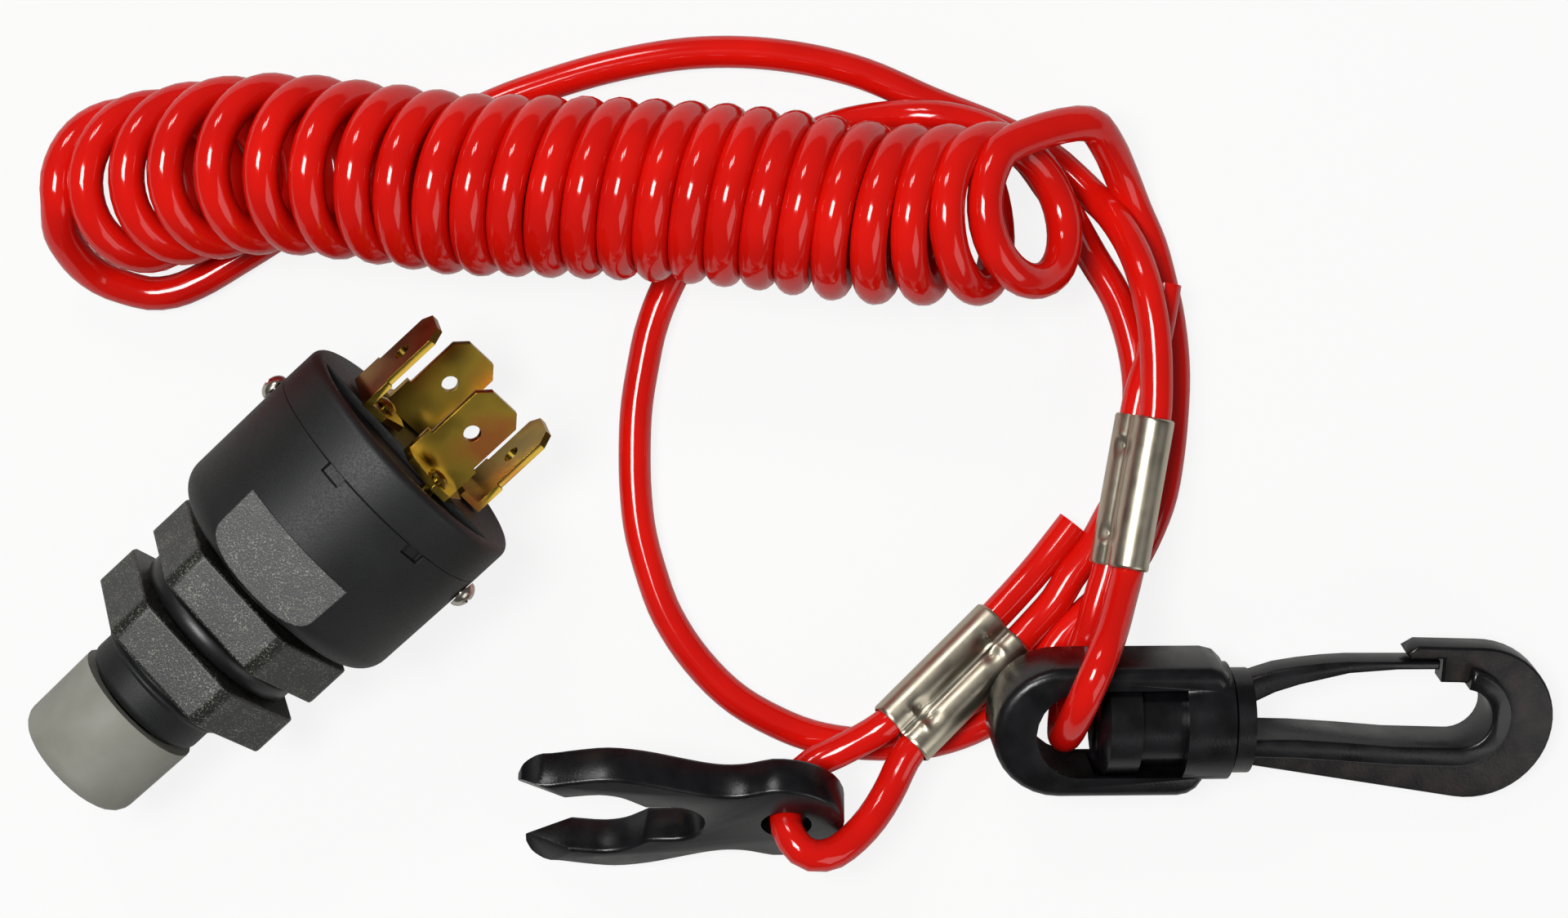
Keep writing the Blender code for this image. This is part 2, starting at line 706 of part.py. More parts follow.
def make_button_cap(look, parent):
    """Grey cup with a rounded front edge and a boss pressed on the plunger."""
    edge = arc((cap_front_radius - cap_rounding, cap_front + cap_rounding), cap_rounding, 0, -90, 5)
    inside = cap_rim_radius - cap_wall
    roof = cap_front + cap_roof
    bore = rod_radius + press_gap
    boss_back = cap_rim - cap_boss_setback
    profile = [(0, roof), (bore, roof), (bore, boss_back), (cap_boss_radius, boss_back), (cap_boss_radius, roof),
               (inside, roof), (inside, cap_rim), (cap_rim_radius, cap_rim), *edge, (0, cap_front)]
    return turned("button_cap", profile, 32, look, parent)


def make_plunger(look, parent):
    """Rod with its spring collar and the disc that carries the contact bridges."""
    carrier_front = carrier_back - carrier_thickness
    collar_front = collar_back - collar_thickness
    rod_front = cap_front + cap_roof + rod_end_gap
    profile = [(0, carrier_back), (carrier_radius, carrier_back), (carrier_radius, carrier_front),
               (shaft_radius, carrier_front), (shaft_radius, collar_back), (collar_radius, collar_back),
               (collar_radius, collar_front), (rod_radius, collar_front), (rod_radius, rod_front), (0, rod_front)]
    return turned("plunger", profile, 24, look, parent)


def make_contact_pair(number, first, second, bridge_look, spring_look, parent):
    """Brass bridge over two rivet faces, with the small spring behind it."""
    start = Vector(rivet_place(*terminal_places[first]))
    end = Vector(rivet_place(*terminal_places[second]))
    middle = (start + end) / 2
    half = (end - start).length / 2 + bridge_overhang
    bridge = place(f"contact_bridge_{number}",
                   box_mesh("bridge", (-half, -bridge_width / 2, bridge_front), (half, bridge_width / 2, bridge_back)),
                   bridge_look, parent)
    bridge.location = (middle.x * mm, middle.y * mm, 0)
    bridge.rotation_euler = (0, 0, math.atan2(end.y - start.y, end.x - start.x))
    spring(f"contact_spring_{number}", contact_spring_radius, contact_spring_wire, carrier_back + thread_gap,
           bridge_front - thread_gap, contact_spring_turns, middle, spring_look, parent)


def make_fork_clip(look, parent):
    """Two prongs with knife tips, a scooped mouth and a holed tail ring."""
    ring_centre = (clip_length - clip_ring_radius, 0)
    side = [tuple(p) for p in smooth_line([Vector(p) for p in clip_side], 3)]
    last = math.degrees(math.atan2(side[-1][1], side[-1][0] - ring_centre[0]))
    ring = arc(ring_centre, clip_ring_radius, last - 8, 8 - last, 18)
    slot_half_width = rod_radius + slide_gap
    slot_bottom = arc((clip_slot_end - slot_half_width, 0), slot_half_width, -90, 90, 10)
    mouth = [(0.0, clip_mouth_half_width), (clip_tip_reach - fit_gap, clip_mouth_half_width),
             *clip_scoop, (clip_slot_start, slot_half_width)]
    mouth = [mouth[0]] + [tuple(p) for p in smooth_line([Vector(p) for p in mouth[1:]], 3)]
    outline = side + ring + [(x, -w) for x, w in reversed(side)]
    outline += [(x, -w) for x, w in mouth] + slot_bottom + list(reversed(mouth))
    hole = arc((clip_hole_place, 0), clip_hole_radius, 0, 345, 23)
    clip = place("fork_clip", rounded_plate_mesh("clip", outline, clip_thickness), look, parent)
    bevel(clip, clip_edge_rounding)
    through = cutter("clip hole", plate_mesh("hole", [hole], clip_thickness + cut_overrun), parent)
    combine(clip, through, "DIFFERENCE")
    half = clip_thickness / 2
    low = (-clip_mouth_half_width / 2, -2 * clip_tip_reach, 0)
    high = (clip_mouth_half_width + cut_overrun, 2 * clip_tip_reach, clip_tip_reach)
    for prong in (-1, 1):
        for face in (-1, 1):
            inner = Vector((clip_tip_reach, prong * clip_mouth_half_width, face * half))
            outer = Vector((clip_tip_reach - clip_tip_slant, prong * (clip_mouth_half_width + clip_tip_width),
                            face * half))
            knife = Vector((0.0, prong * (clip_mouth_half_width + clip_knife_inset), 0.0))
            across = (outer - inner).normalized()
            out = across.cross(knife - inner).normalized()
            if out.z * face < 0:
                out = -out
            down = out.cross(across)
            wedge = cutter(f"tip wedge {prong} {face}", box_mesh("wedge", low, high), parent)
            wedge.matrix_local = (Matrix.Translation(inner * mm)
                                  @ Matrix((across, down, out)).transposed().to_4x4())
            combine(clip, wedge, "DIFFERENCE")
    return clip


def lying_rod(name, radius, low, high, parent, sides=40):
    """Cylinder cutter along the hook's own axis."""
    made = cutter(name, rod_mesh(name, radius, low, high, sides), parent)
    made.rotation_euler = (0, math.pi / 2, 0)
    return made


def make_swivel_eye(look, parent):
    """Flat eye with a barrel that the hook's neck turns in."""
    half = eye_width / 2
    left = arc((half - eye_length, 0), half, 90, 270, 16)
    lower = arc((-eye_lower_end, eye_lower_corner - half), eye_lower_corner, 270, 360, 4)
    upper = arc((-eye_front - eye_corner, half - eye_corner), eye_corner, 0, 90, 3)
    outline = left + lower + [(eye_lower_corner - eye_lower_end, 0.0), (-eye_front, 0.0)] + upper
    inner_end = eye_end_bar - eye_length + eye_opening_half_width
    opening = arc((inner_end, 0), eye_opening_half_width, 90, 270, 12)
    opening += [(-eye_opening_end, -eye_opening_half_width), (-eye_opening_end, eye_opening_half_width)]
    eye = place("swivel_eye", rounded_plate_mesh("eye", outline, eye_thickness), look, parent)
    bevel(eye, eye_edge_rounding, 3)
    through = cutter("eye opening", plate_mesh("opening", [opening], eye_thickness + cut_overrun), parent)
    combine(eye, through, "DIFFERENCE")
    barrel = lying_rod("eye barrel", eye_barrel_radius, -eye_opening_end - join_overlap,
                       join_overlap - eye_front, parent)
    combine(eye, barrel, "UNION")
    neck_end = base_collar_length + neck_length
    bore = lying_rod("neck bore", neck_radius + slide_gap, -eye_opening_end - cut_overrun, cut_overrun, parent)
    combine(eye, bore, "DIFFERENCE")
    relief = lying_rod("head relief", head_radius + fit_gap, -neck_end - head_length - fit_gap,
                       fit_gap - neck_end, parent)
    combine(eye, relief, "DIFFERENCE")
    return eye


def make_snap_hook(look, parent):
    """Split neck, ribbed spine and bow, webbed back and the springy gate arm."""
    tangent_from = Vector(web_low_start)
    to_bow = Vector(bow_centre) - tangent_from
    lean = math.degrees(math.atan2(to_bow.y, to_bow.x) - math.asin(bow_radius / to_bow.length))
    bow = arc(bow_centre, bow_radius, lean - 90, 90, 26)
    inner_bow = arc(bow_inner_centre, bow_inner_radius, 90, -95, 16)
    nose = [(nose_tip[0] + nose_lead, nose_top), nose_tip, (nose_tip[0] + nose_lip, nose_under)]
    web_outline = [web_low_start, *bow, *nose, (catch_face, nose_under), (catch_face, catch_low), *inner_bow,
                   *reversed(spine_top)]
    hook = place("snap_hook", rounded_plate_mesh("web", web_outline, web_thickness), look, parent)
    bevel(hook, web_edge_rounding)
    inner_rail = arc(bow_inner_centre, bow_inner_radius - rail_proud, 80, -95, 16)
    outer_rail = arc(bow_inner_centre, bow_inner_radius + rail_width, -95, 80, 16)
    rail_outline = [*inner_rail, *[(x, y + rail_proud) for x, y in reversed(spine_top)],
                    *[(x, y - rail_width) for x, y in spine_top], *outer_rail]
    rail = cutter("rail", rounded_plate_mesh("rail", rail_outline, rail_thickness), parent)
    bevel(rail, web_edge_rounding)
    combine(hook, rail, "UNION")
    gate = cutter("gate arm", rounded_plate_mesh("gate", [*gate_top, *gate_bottom], gate_thickness), parent)
    bevel(gate, web_edge_rounding)
    combine(hook, gate, "UNION")
    neck_end = -base_collar_length - neck_length
    head_end = neck_end - head_length
    profile = [(0, 0), (base_collar_radius, 0), (base_collar_radius, -base_collar_length),
               (neck_radius, -base_collar_length), (neck_radius, neck_end), (head_radius, neck_end),
               (head_radius, head_end + head_chamfer), (head_radius - head_chamfer, head_end), (0, head_end)]
    shank = turned_cutter("shank", profile, 32, parent)
    shank.rotation_euler = (0, math.pi / 2, 0)
    combine(hook, shank, "UNION")
    reach = head_radius + cut_overrun
    split = cutter("neck split", box_mesh("split", (head_end - cut_overrun, -reach, -neck_split / 2),
                                          (-base_collar_length - neck_split_root, reach, neck_split / 2)), parent)
    combine(hook, split, "DIFFERENCE")
    return hook


def ferrule_frame(name, low, top, roll, parent):
    """Frame at a ferrule's middle: Z to its top end, X from one barrel to the other."""
    low = Vector(low)
    top = Vector(top)
    along = (top - low).normalized()
    level = along.cross(Vector((0, 0, 1))).normalized()
    across = level * math.cos(math.radians(roll)) + level.cross(along) * math.sin(math.radians(roll))
    turned_to = Matrix((across, along.cross(across), along)).transposed().to_4x4()
    return frame(name, Matrix.Translation((low + top) / 2 * mm) @ turned_to, parent)


def barrel_points(ferrule, side):
    """Strand points through one barrel in table millimetres, low end first."""
    reach = ferrule_length / 2 + fit_gap
    heights = [reach * t for t in (-1.0, -0.35, 0.35, 1.0)]
    return [tuple(ferrule.matrix_local @ Vector((side * barrel_spacing / 2 * mm, 0, z * mm)) / mm)
            for z in heights]


def figure_eight(radius):
    """Outline round two circles that overlap in the middle."""
    half = barrel_spacing / 2
    waist = math.degrees(math.acos(half / radius))
    right = arc((half, 0), radius, waist - 180, 180 - waist, 16)
    left = arc((-half, 0), radius, waist, 360 - waist, 16)
    return right + left[1:-1]


def make_ferrule(name, look, parent):
    """Crimped sleeve with one barrel for each strand."""
    loops = [figure_eight(barrel_radius), figure_eight(barrel_radius - barrel_wall)]
    return place(name, plate_mesh(name, loops, ferrule_length), look, parent)


def route(*pieces):
    """Cord points through free stretches and, between them, straight ferrule barrels."""
    samples = 16
    points = []
    barrels = []
    for number, piece in enumerate(pieces):
        piece = list(piece)
        if number % 2:
            barrels.append((len(points), len(points) + len(piece) - 1))
        points += piece
    line = smooth_line(points, samples)
    kept = []
    start = 0
    for first, last in [*barrels, (len(points) - 1, 0)]:
        kept += thinned(line[start * samples:first * samples + 1], longest_step, largest_turn)
        start = last
    return kept


def make_switch(looks, table):
    heading = math.radians(switch_heading)
    tilt = math.radians(switch_tilt)
    rearward = Vector((math.cos(heading) * math.cos(tilt), math.sin(heading) * math.cos(tilt), math.sin(tilt)))
    leftward = Vector((-math.sin(heading), math.cos(heading), 0))
    upward = rearward.cross(leftward)
    shoulder = housing_front_radius - housing_shoulder
    height = (housing_shoulder + shoulder * math.cos(tilt)
              + (housing_length - housing_shoulder) * math.sin(tilt))
    turned_to = Matrix((leftward, upward, rearward)).transposed().to_4x4()
    switch = frame("switch_axis", Matrix.Translation(Vector((*switch_place, height)) * mm) @ turned_to, table)
    make_front_shell(looks["housing"], switch)
    make_terminal_base(looks["housing"], switch)
    for number, (radius, angle, way) in enumerate(terminal_places, 1):
        make_terminal(number, radius, angle, way, looks["brass"], switch)
        make_rivet(number, radius, angle, way, looks["brass"], switch)
    make_side_screw(1, 1, looks["steel"], switch)
    make_side_screw(2, -1, looks["steel"], switch)
    rear_back = housing_front - rear_nut_gap
    washer_back = rear_back - nut_thickness - fit_gap
    front_back = washer_back - washer_thickness - fit_gap
    make_nut("rear_nut", rear_back, looks["nut"], switch)
    make_nut("front_nut", front_back, looks["nut"], switch)
    make_washer(washer_back, looks["rubber"], switch)
    make_seal(looks["rubber"], switch)
    make_button_cap(looks["cap"], switch)
    make_plunger(looks["plastic"], switch)
    make_contact_pair(1, 0, 2, looks["brass"], looks["steel"], switch)
    make_contact_pair(2, 1, 3, looks["brass"], looks["steel"], switch)
    spring("return_spring", return_spring_radius, return_spring_wire, bore_front + fit_gap,
           collar_back - collar_thickness - fit_gap, return_spring_turns, Vector((0, 0)), looks["steel"], switch)


def make_lanyard(looks, table):
    clip_turn = Matrix.Rotation(math.radians(clip_roll), 4, "X")
    clip_height = (clip_side_reach() * math.sin(math.radians(clip_roll))
                   + clip_thickness / 2 * math.cos(math.radians(clip_roll)) - clip_edge_rounding * 0.4)
    clip = frame("clip_frame", Matrix.Translation(Vector((*clip_place, clip_height)) * mm) @ clip_turn, table)
    make_fork_clip(looks["plastic"], clip)
    hook_turn = (Matrix.Rotation(math.radians(hook_pitch), 4, "Y")
                 @ Matrix.Rotation(math.radians(hook_roll), 4, "X"))
    hook = frame("hook_axis", Matrix.Translation(Vector((*hook_place, hook_height)) * mm) @ hook_turn, table)
    make_swivel_eye(looks["plastic"], hook)
    make_snap_hook(looks["plastic"], hook)
    clip_ferrule = ferrule_frame("clip_ferrule_axis", clip_ferrule_low, clip_ferrule_top, 0.0, table)
    hook_ferrule = ferrule_frame("hook_ferrule_axis", hook_ferrule_low, hook_ferrule_top, hook_ferrule_roll, table)
    make_ferrule("ferrule_clip", looks["nickel"], clip_ferrule)
    make_ferrule("ferrule_hook", looks["nickel"], hook_ferrule)
    tube("lanyard_coil", coil_route, coil_radius, looks["cord"], table, 4)
    upper = barrel_points(hook_ferrule, 1)
    lower = barrel_points(hook_ferrule, -1)
    hook_tail = route(left_route, reversed(upper), eye_loop, lower, hook_free_end)
    tube("lanyard_tail_hook", hook_tail, cord_radius, looks["cord"], table)
    right = barrel_points(clip_ferrule, 1)
    left = barrel_points(clip_ferrule, -1)
    clip_tail = route(right_route, reversed(right), clip_loop, left, clip_free_end)
    tube("lanyard_tail_clip", clip_tail, cord_radius, looks["cord"], table)


def clip_side_reach():
    """Widest half width of the fork clip."""
    return max(w for _, w in clip_side)


for old in list(bpy.data.objects):
    bpy.data.objects.remove(old)

parts = collection("engine_kill_switch")
cutters = collection("cutters")
table = frame("table_middle", Matrix.Translation(Vector((*origin_shift, 0)) * mm))
looks = {
    "housing": material("switch_black", (0.10, 0.10, 0.11), 0.45),
    "nut": material("nut_black", (0.16, 0.16, 0.17), 0.5),
    "rubber": material("rubber_black", (0.04, 0.04, 0.04), 0.35),
    "cap": material("cap_grey", (0.55, 0.54, 0.50), 0.55),
    "plastic": material("hook_black", (0.05, 0.05, 0.06), 0.3),
    "brass": material("terminal_brass", (0.62, 0.48, 0.18), 0.3, 1.0),
    "steel": material("screw_steel", (0.70, 0.69, 0.66), 0.3, 1.0),
    "nickel": material("ferrule_nickel", (0.72, 0.70, 0.66), 0.35, 1.0),
    "cord": material("cord_red", (0.88, 0.08, 0.05), 0.2),
}
make_switch(looks, table)
make_lanyard(looks, table)
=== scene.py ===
# Engine kill switch with a coiled lanyard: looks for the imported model
import math

import bmesh
import bpy
from mathutils import Matrix, Vector


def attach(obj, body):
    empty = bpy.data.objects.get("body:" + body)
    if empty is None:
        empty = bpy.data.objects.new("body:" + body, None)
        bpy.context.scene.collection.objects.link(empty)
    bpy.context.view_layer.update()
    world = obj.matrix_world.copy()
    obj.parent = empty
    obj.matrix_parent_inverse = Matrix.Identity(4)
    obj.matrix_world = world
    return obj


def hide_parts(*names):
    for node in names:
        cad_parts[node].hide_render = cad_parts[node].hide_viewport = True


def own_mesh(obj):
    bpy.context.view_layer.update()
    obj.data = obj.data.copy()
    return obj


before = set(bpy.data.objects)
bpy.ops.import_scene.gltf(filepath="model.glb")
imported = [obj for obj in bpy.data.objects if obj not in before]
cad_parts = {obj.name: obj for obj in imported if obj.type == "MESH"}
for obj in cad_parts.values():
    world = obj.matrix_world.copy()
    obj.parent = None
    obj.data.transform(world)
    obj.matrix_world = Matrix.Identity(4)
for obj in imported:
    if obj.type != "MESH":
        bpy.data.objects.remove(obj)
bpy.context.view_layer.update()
mm = 0.001
print("frame loaded:", len(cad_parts), "nodes")

# Middle of the photograph's table, in the model's own millimetres
viewShift = Vector((-1.62, 15.03, 0.0))


def hexColour(text):
    parts = [int(text[i:i + 2], 16) / 255 for i in (1, 3, 5)]
    return (*[c / 12.92 if c <= 0.04045 else ((c + 0.055) / 1.055) ** 2.4 for c in parts], 1.0)


def addNode(tree, kind, inputs=None, **settings):
    node = tree.nodes.new(kind)
    for key, value in settings.items():
        setattr(node, key, value)
    for key, value in (inputs or {}).items():
        if isinstance(value, bpy.types.NodeSocket):
            tree.links.new(value, node.inputs[key])
        else:
            node.inputs[key].default_value = value
    return node


def startMaterial(name, colour, roughness, metallic=0.0, ior=1.5):
    made = bpy.data.materials.new(name)
    made.use_nodes = True
    tree = made.node_tree
    shader = tree.nodes["Principled BSDF"]
    shader.inputs["Base Color"].default_value = hexColour(colour)
    shader.inputs["Roughness"].default_value = roughness
    shader.inputs["Metallic"].default_value = metallic
    shader.inputs["IOR"].default_value = ior
    coordinates = addNode(tree, "ShaderNodeTexCoord").outputs["Object"]
    return made, tree, shader, coordinates


# Where the switch lies: rear rim centre, heading and tilt of its axis
switchLie = {"centre": (-41.32, 16.21, 16.365), "heading": 42.3, "tilt": 5.8}
heading = math.radians(switchLie["heading"])
tilt = math.radians(switchLie["tilt"])
rearward = Vector((math.cos(heading) * math.cos(tilt), math.sin(heading) * math.cos(tilt), math.sin(tilt)))
leftward = Vector((-math.sin(heading), math.cos(heading), 0))
switchMatrix = (Matrix.Translation(Vector(switchLie["centre"]) * mm)
                @ Matrix((leftward, rearward.cross(leftward), rearward)).transposed().to_4x4())


# Camera first: straight above the middle of the table
cameraView = {"height": 375.0, "focal": 76.64, "sensor": 36.0, "nearest": 0.01, "farthest": 20.0}
camera = bpy.data.objects.new("photoCamera", bpy.data.cameras.new("photoCamera"))
bpy.context.scene.collection.objects.link(camera)
camera.location = (viewShift.x * mm, viewShift.y * mm, cameraView["height"] * mm)
camera.data.lens = cameraView["focal"]
camera.data.sensor_width = cameraView["sensor"]
camera.data.clip_start = cameraView["nearest"]
camera.data.clip_end = cameraView["farthest"]
camera.data.dof.use_dof = False
bpy.context.scene.camera = camera
print("camera set")


# Small functions that the looks share: sizes and depths are in millimetres, and noise lies mostly in noiseSpan
noiseSpan = {"low": 0.3, "high": 0.7}


def addNoise(tree, at, size, detail, **more):
    inputs = {"Vector": at, "Scale": 1000 / size, "Detail": detail, **more}
    return addNode(tree, "ShaderNodeTexNoise", inputs).outputs["Fac"]


def addTone(tree, shader, value, first, last, *between):
    tone = addNode(tree, "ShaderNodeValToRGB", {"Fac": value})
    stops = tone.color_ramp.elements
    for index, (place, colour) in enumerate((first, last)):
        stops[index].position = place
        stops[index].color = hexColour(colour)
    for place, colour in between:
        stops.new(place).color = hexColour(colour)
    tree.links.new(tone.outputs["Color"], shader.inputs["Base Color"])


def addRoughness(tree, shader, value, low, high):
    rough = addNode(tree, "ShaderNodeMapRange", {"Value": value, "From Min": noiseSpan["low"],
                                                 "From Max": noiseSpan["high"], "To Min": low, "To Max": high})
    tree.links.new(rough.outputs["Result"], shader.inputs["Roughness"])


def addBump(tree, value, strength, depth, normal=None):
    inputs = {"Height": value, "Strength": strength, "Distance": depth * mm}
    if normal:
        inputs["Normal"] = normal
    return addNode(tree, "ShaderNodeBump", inputs).outputs["Normal"]


def addBevel(tree, radius):
    return addNode(tree, "ShaderNodeBevel", {"Radius": radius * mm}, samples=4).outputs["Normal"]


def addStretch(tree, at, stretch):
    return addNode(tree, "ShaderNodeMapping", {"Vector": at, "Scale": (1, 1, 1 / stretch)}).outputs["Vector"]


def switchSpace(tree, at):
    inverse = switchMatrix.inverted()
    return addNode(tree, "ShaderNodeMapping", {"Vector": at, "Location": inverse.to_translation(),
                                               "Rotation": inverse.to_euler()}).outputs["Vector"]


# Moulded nylon, lightly matt: fine grain breaks the gloss into a soft sheen
def makeMouldedNylon():
    grain = {"size": 0.22, "depth": 0.018, "strength": 0.7, "blotch": 6.0, "rough": (0.48, 0.62), "edge": 0.22}
    look, tree, shader, at = startMaterial("mouldedNylonBlack", "#0d0e0e", 0.56, ior=1.53)
    fine = addNoise(tree, at, grain["size"], 2.0)
    broad = addNoise(tree, at, grain["blotch"], 3.0)
    addTone(tree, shader, broad, (0.35, "#090a0a"), (0.68, "#121413"))
    addRoughness(tree, shader, fine, *grain["rough"])
    bump = addBump(tree, fine, grain["strength"], grain["depth"], addBevel(tree, grain["edge"]))
    tree.links.new(bump, shader.inputs["Normal"])
    return look


# Nylon from a spark-eroded mould: coarse grit in the bump, and light-grey specks painted into its colour as a
# painted sparkle where the grit would catch the light
def makeGrittyNylonWithPaintedSparkle():
    grit = {"size": 0.2, "depth": 0.03, "strength": 0.9, "patch": 2.5, "patchShare": 0.15, "edge": 0.2}
    look, tree, shader, at = startMaterial("grittyNylonPaintedSparkle", "#151614", 0.4, ior=1.53)
    fine = addNoise(tree, at, grit["size"], 3.0, Roughness=0.7)
    patch = addNoise(tree, at, grit["patch"], 2.0)
    paintedSparkleSpecks = addNode(tree, "ShaderNodeMix", {0: grit["patchShare"], 2: fine, 3: patch})
    # Painted sparkle: the ramp's light-grey end paints grey specks into the base colour on every face, in place of
    # light caught by the grit; the dark end is the nylon's own near-black
    addTone(tree, shader, paintedSparkleSpecks.outputs[0], (0.38, "#0e0f0f"), (0.66, "#8e8f80"), (0.55, "#171815"))
    bump = addBump(tree, fine, grit["strength"], grit["depth"], addBevel(tree, grit["edge"]))
    tree.links.new(bump, shader.inputs["Normal"])
    return look


# Polished acetal of clip, eye and hook: near-black, with flow waves and fine pores in its gloss
def makeGlossAcetal():
    flow = {"size": 3.5, "depth": 0.03, "strength": 0.5, "rough": (0.22, 0.36)}
    pore = {"size": 0.28, "depth": 0.02, "strength": 0.7}
    look, tree, shader, at = startMaterial("glossAcetalBlack", "#0f0f11", 0.3, ior=1.48)
    wave = addNoise(tree, at, flow["size"], 2.0)
    pores = addNoise(tree, at, pore["size"], 3.0)
    addTone(tree, shader, wave, (0.35, "#0b0b0d"), (0.7, "#151518"))
    addRoughness(tree, shader, wave, *flow["rough"])
    slow = addBump(tree, wave, flow["strength"], flow["depth"])
    tree.links.new(addBump(tree, pores, pore["strength"], pore["depth"], slow), shader.inputs["Normal"])
    return look


# Hook web: the same acetal where the mould was left rough, brownish and pitted
def makeRoughAcetal():
    pit = {"size": 0.35, "depth": 0.06, "strength": 0.8, "patch": 2.2}
    look, tree, shader, at = startMaterial("roughAcetalBlack", "#1c1817", 0.45, ior=1.48)
    pits = addNoise(tree, at, pit["size"], 4.0)
    patch = addNoise(tree, at, pit["patch"], 3.0)
    addTone(tree, shader, patch, (0.38, "#141112"), (0.72, "#2e2724"))
    tree.links.new(addBump(tree, pits, pit["strength"], pit["depth"]), shader.inputs["Normal"])
    return look


# Polypropylene cap, turned grey: matt, clouded, with faint rings from the mould
def makeGreyPolypropylene():
    marks = {"cloud": 7.0, "grain": 0.3, "grainStrength": 0.4, "twentyRings": 7.0, "ringStrength": 0.12,
             "ringWander": 1.5, "depth": 0.02}
    look, tree, shader, at = startMaterial("greyPolypropylene", "#8f8e83", 0.52, ior=1.49)
    cloud = addNoise(tree, at, marks["cloud"], 4.0)
    grain = addNoise(tree, at, marks["grain"], 2.0)
    addTone(tree, shader, cloud, (0.3, "#838277"), (0.72, "#999890"))
    rings = addNode(tree, "ShaderNodeTexWave",
                    {"Vector": switchSpace(tree, at), "Scale": 1000 / marks["twentyRings"],
                     "Distortion": marks["ringWander"], "Detail": 2.0}, bands_direction="Z")
    slow = addBump(tree, rings.outputs["Fac"], marks["ringStrength"], marks["depth"])
    tree.links.new(addBump(tree, grain, marks["grainStrength"], marks["depth"], slow), shader.inputs["Normal"])
    return look


# Nitrile rubber of washer and O-ring: deep black, soft sheen
def makeNitrileRubber():
    skin = {"size": 0.5, "depth": 0.02, "strength": 0.5}
    look, tree, shader, at = startMaterial("nitrileRubber", "#101010", 0.38, ior=1.52)
    noise = addNoise(tree, at, skin["size"], 3.0)
    addTone(tree, shader, noise, (0.0, "#0b0b0b"), (1.0, "#191919"))
    tree.links.new(addBump(tree, noise, skin["strength"], skin["depth"]), shader.inputs["Normal"])
    return look


# Stamped brass blades: rolled sheet with fine drawn lines, olive tarnish and coppery patches
def makeStampedBrass():
    sheet = {"line": 0.12, "stretch": 14.0, "depth": 0.008, "strength": 0.35, "tarnish": 6.0, "rough": (0.16, 0.3)}
    look, tree, shader, at = startMaterial("stampedBrass", "#a68a34", 0.3, metallic=1.0)
    drawn = addStretch(tree, switchSpace(tree, at), sheet["stretch"])
    lines = addNoise(tree, drawn, sheet["line"], 2.0)
    tarnish = addNoise(tree, at, sheet["tarnish"], 1.5)
    addTone(tree, shader, tarnish, (0.30, "#947c33"), (0.74, "#b06c36"), (0.50, "#b5973a"))
    addRoughness(tree, shader, tarnish, *sheet["rough"])
    tree.links.new(addBump(tree, lines, sheet["strength"], sheet["depth"]), shader.inputs["Normal"])
    return look


# Nickel plate on drawn brass: warm silver, drawn lines along the sleeve
def makeNickelPlate(name, colour, roughness, along):
    drawn = {"line": 0.15, "stretch": 20.0, "depth": 0.008, "strength": 0.3, "cloud": 2.5,
             "smoother": 0.06, "rougher": 0.08}
    look, tree, shader, at = startMaterial(name, colour, roughness, metallic=1.0)
    turn = along.to_track_quat("Z", "Y").to_matrix().inverted().to_euler()
    local = addNode(tree, "ShaderNodeMapping", {"Vector": at, "Rotation": turn}).outputs["Vector"]
    lines = addNoise(tree, addStretch(tree, local, drawn["stretch"]), drawn["line"], 2.0)
    cloud = addNoise(tree, at, drawn["cloud"], 4.0)
    addRoughness(tree, shader, cloud, roughness - drawn["smoother"], roughness + drawn["rougher"])
    tree.links.new(addBump(tree, lines, drawn["strength"], drawn["depth"]), shader.inputs["Normal"])
    return look


# Spring steel wire: bright, a little oxidised
def makeSpringSteel():
    oxide = {"cloud": 1.2}
    look, tree, shader, at = startMaterial("springSteel", "#b9b6ae", 0.3, metallic=1.0)
    cloud = addNoise(tree, at, oxide["cloud"], 3.0)
    addTone(tree, shader, cloud, (0.0, "#8d8980"), (1.0, "#cfccc4"))
    return look


# Extruded polyurethane cord: clear red skin, mirror-like, with the extruder's faint waves
def makeRedPolyurethane():
    skin = {"wave": 5.0, "depth": 0.05, "strength": 0.35, "shade": 9.0}
    look, tree, shader, at = startMaterial("redPolyurethane", "#dc130b", 0.1, ior=1.5)
    wave = addNoise(tree, at, skin["wave"], 1.0)
    shade = addNoise(tree, at, skin["shade"], 2.0)
    addTone(tree, shader, shade, (0.3, "#d2110a"), (0.7, "#e4160c"))
    tree.links.new(addBump(tree, wave, skin["strength"], skin["depth"]), shader.inputs["Normal"])
    return look


nylon = makeMouldedNylon()
grittyPaintedSparkle = makeGrittyNylonWithPaintedSparkle()
acetal = makeGlossAcetal()
roughAcetal = makeRoughAcetal()
capGrey = makeGreyPolypropylene()
rubber = makeNitrileRubber()
brass = makeStampedBrass()
steel = makeSpringSteel()
screwNickel = makeNickelPlate("nickelPlatedScrew", "#c4bdb0", 0.25, leftward)
redCord = makeRedPolyurethane()
print("materials made")


def addPiece(name, mesh, looks, body, slotName, *nodes):
    piece = bpy.data.objects.new(name, mesh)
    bpy.context.scene.collection.objects.link(piece)
    mesh.materials.clear()
    for look in looks:
        mesh.materials.append(look)
    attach(piece, body)
    if nodes:
        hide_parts(*nodes)
    return piece


def smoothShade(mesh, angle):
    mesh.shade_smooth()
    mesh.set_sharp_from_angle(angle=math.radians(angle))
    return mesh


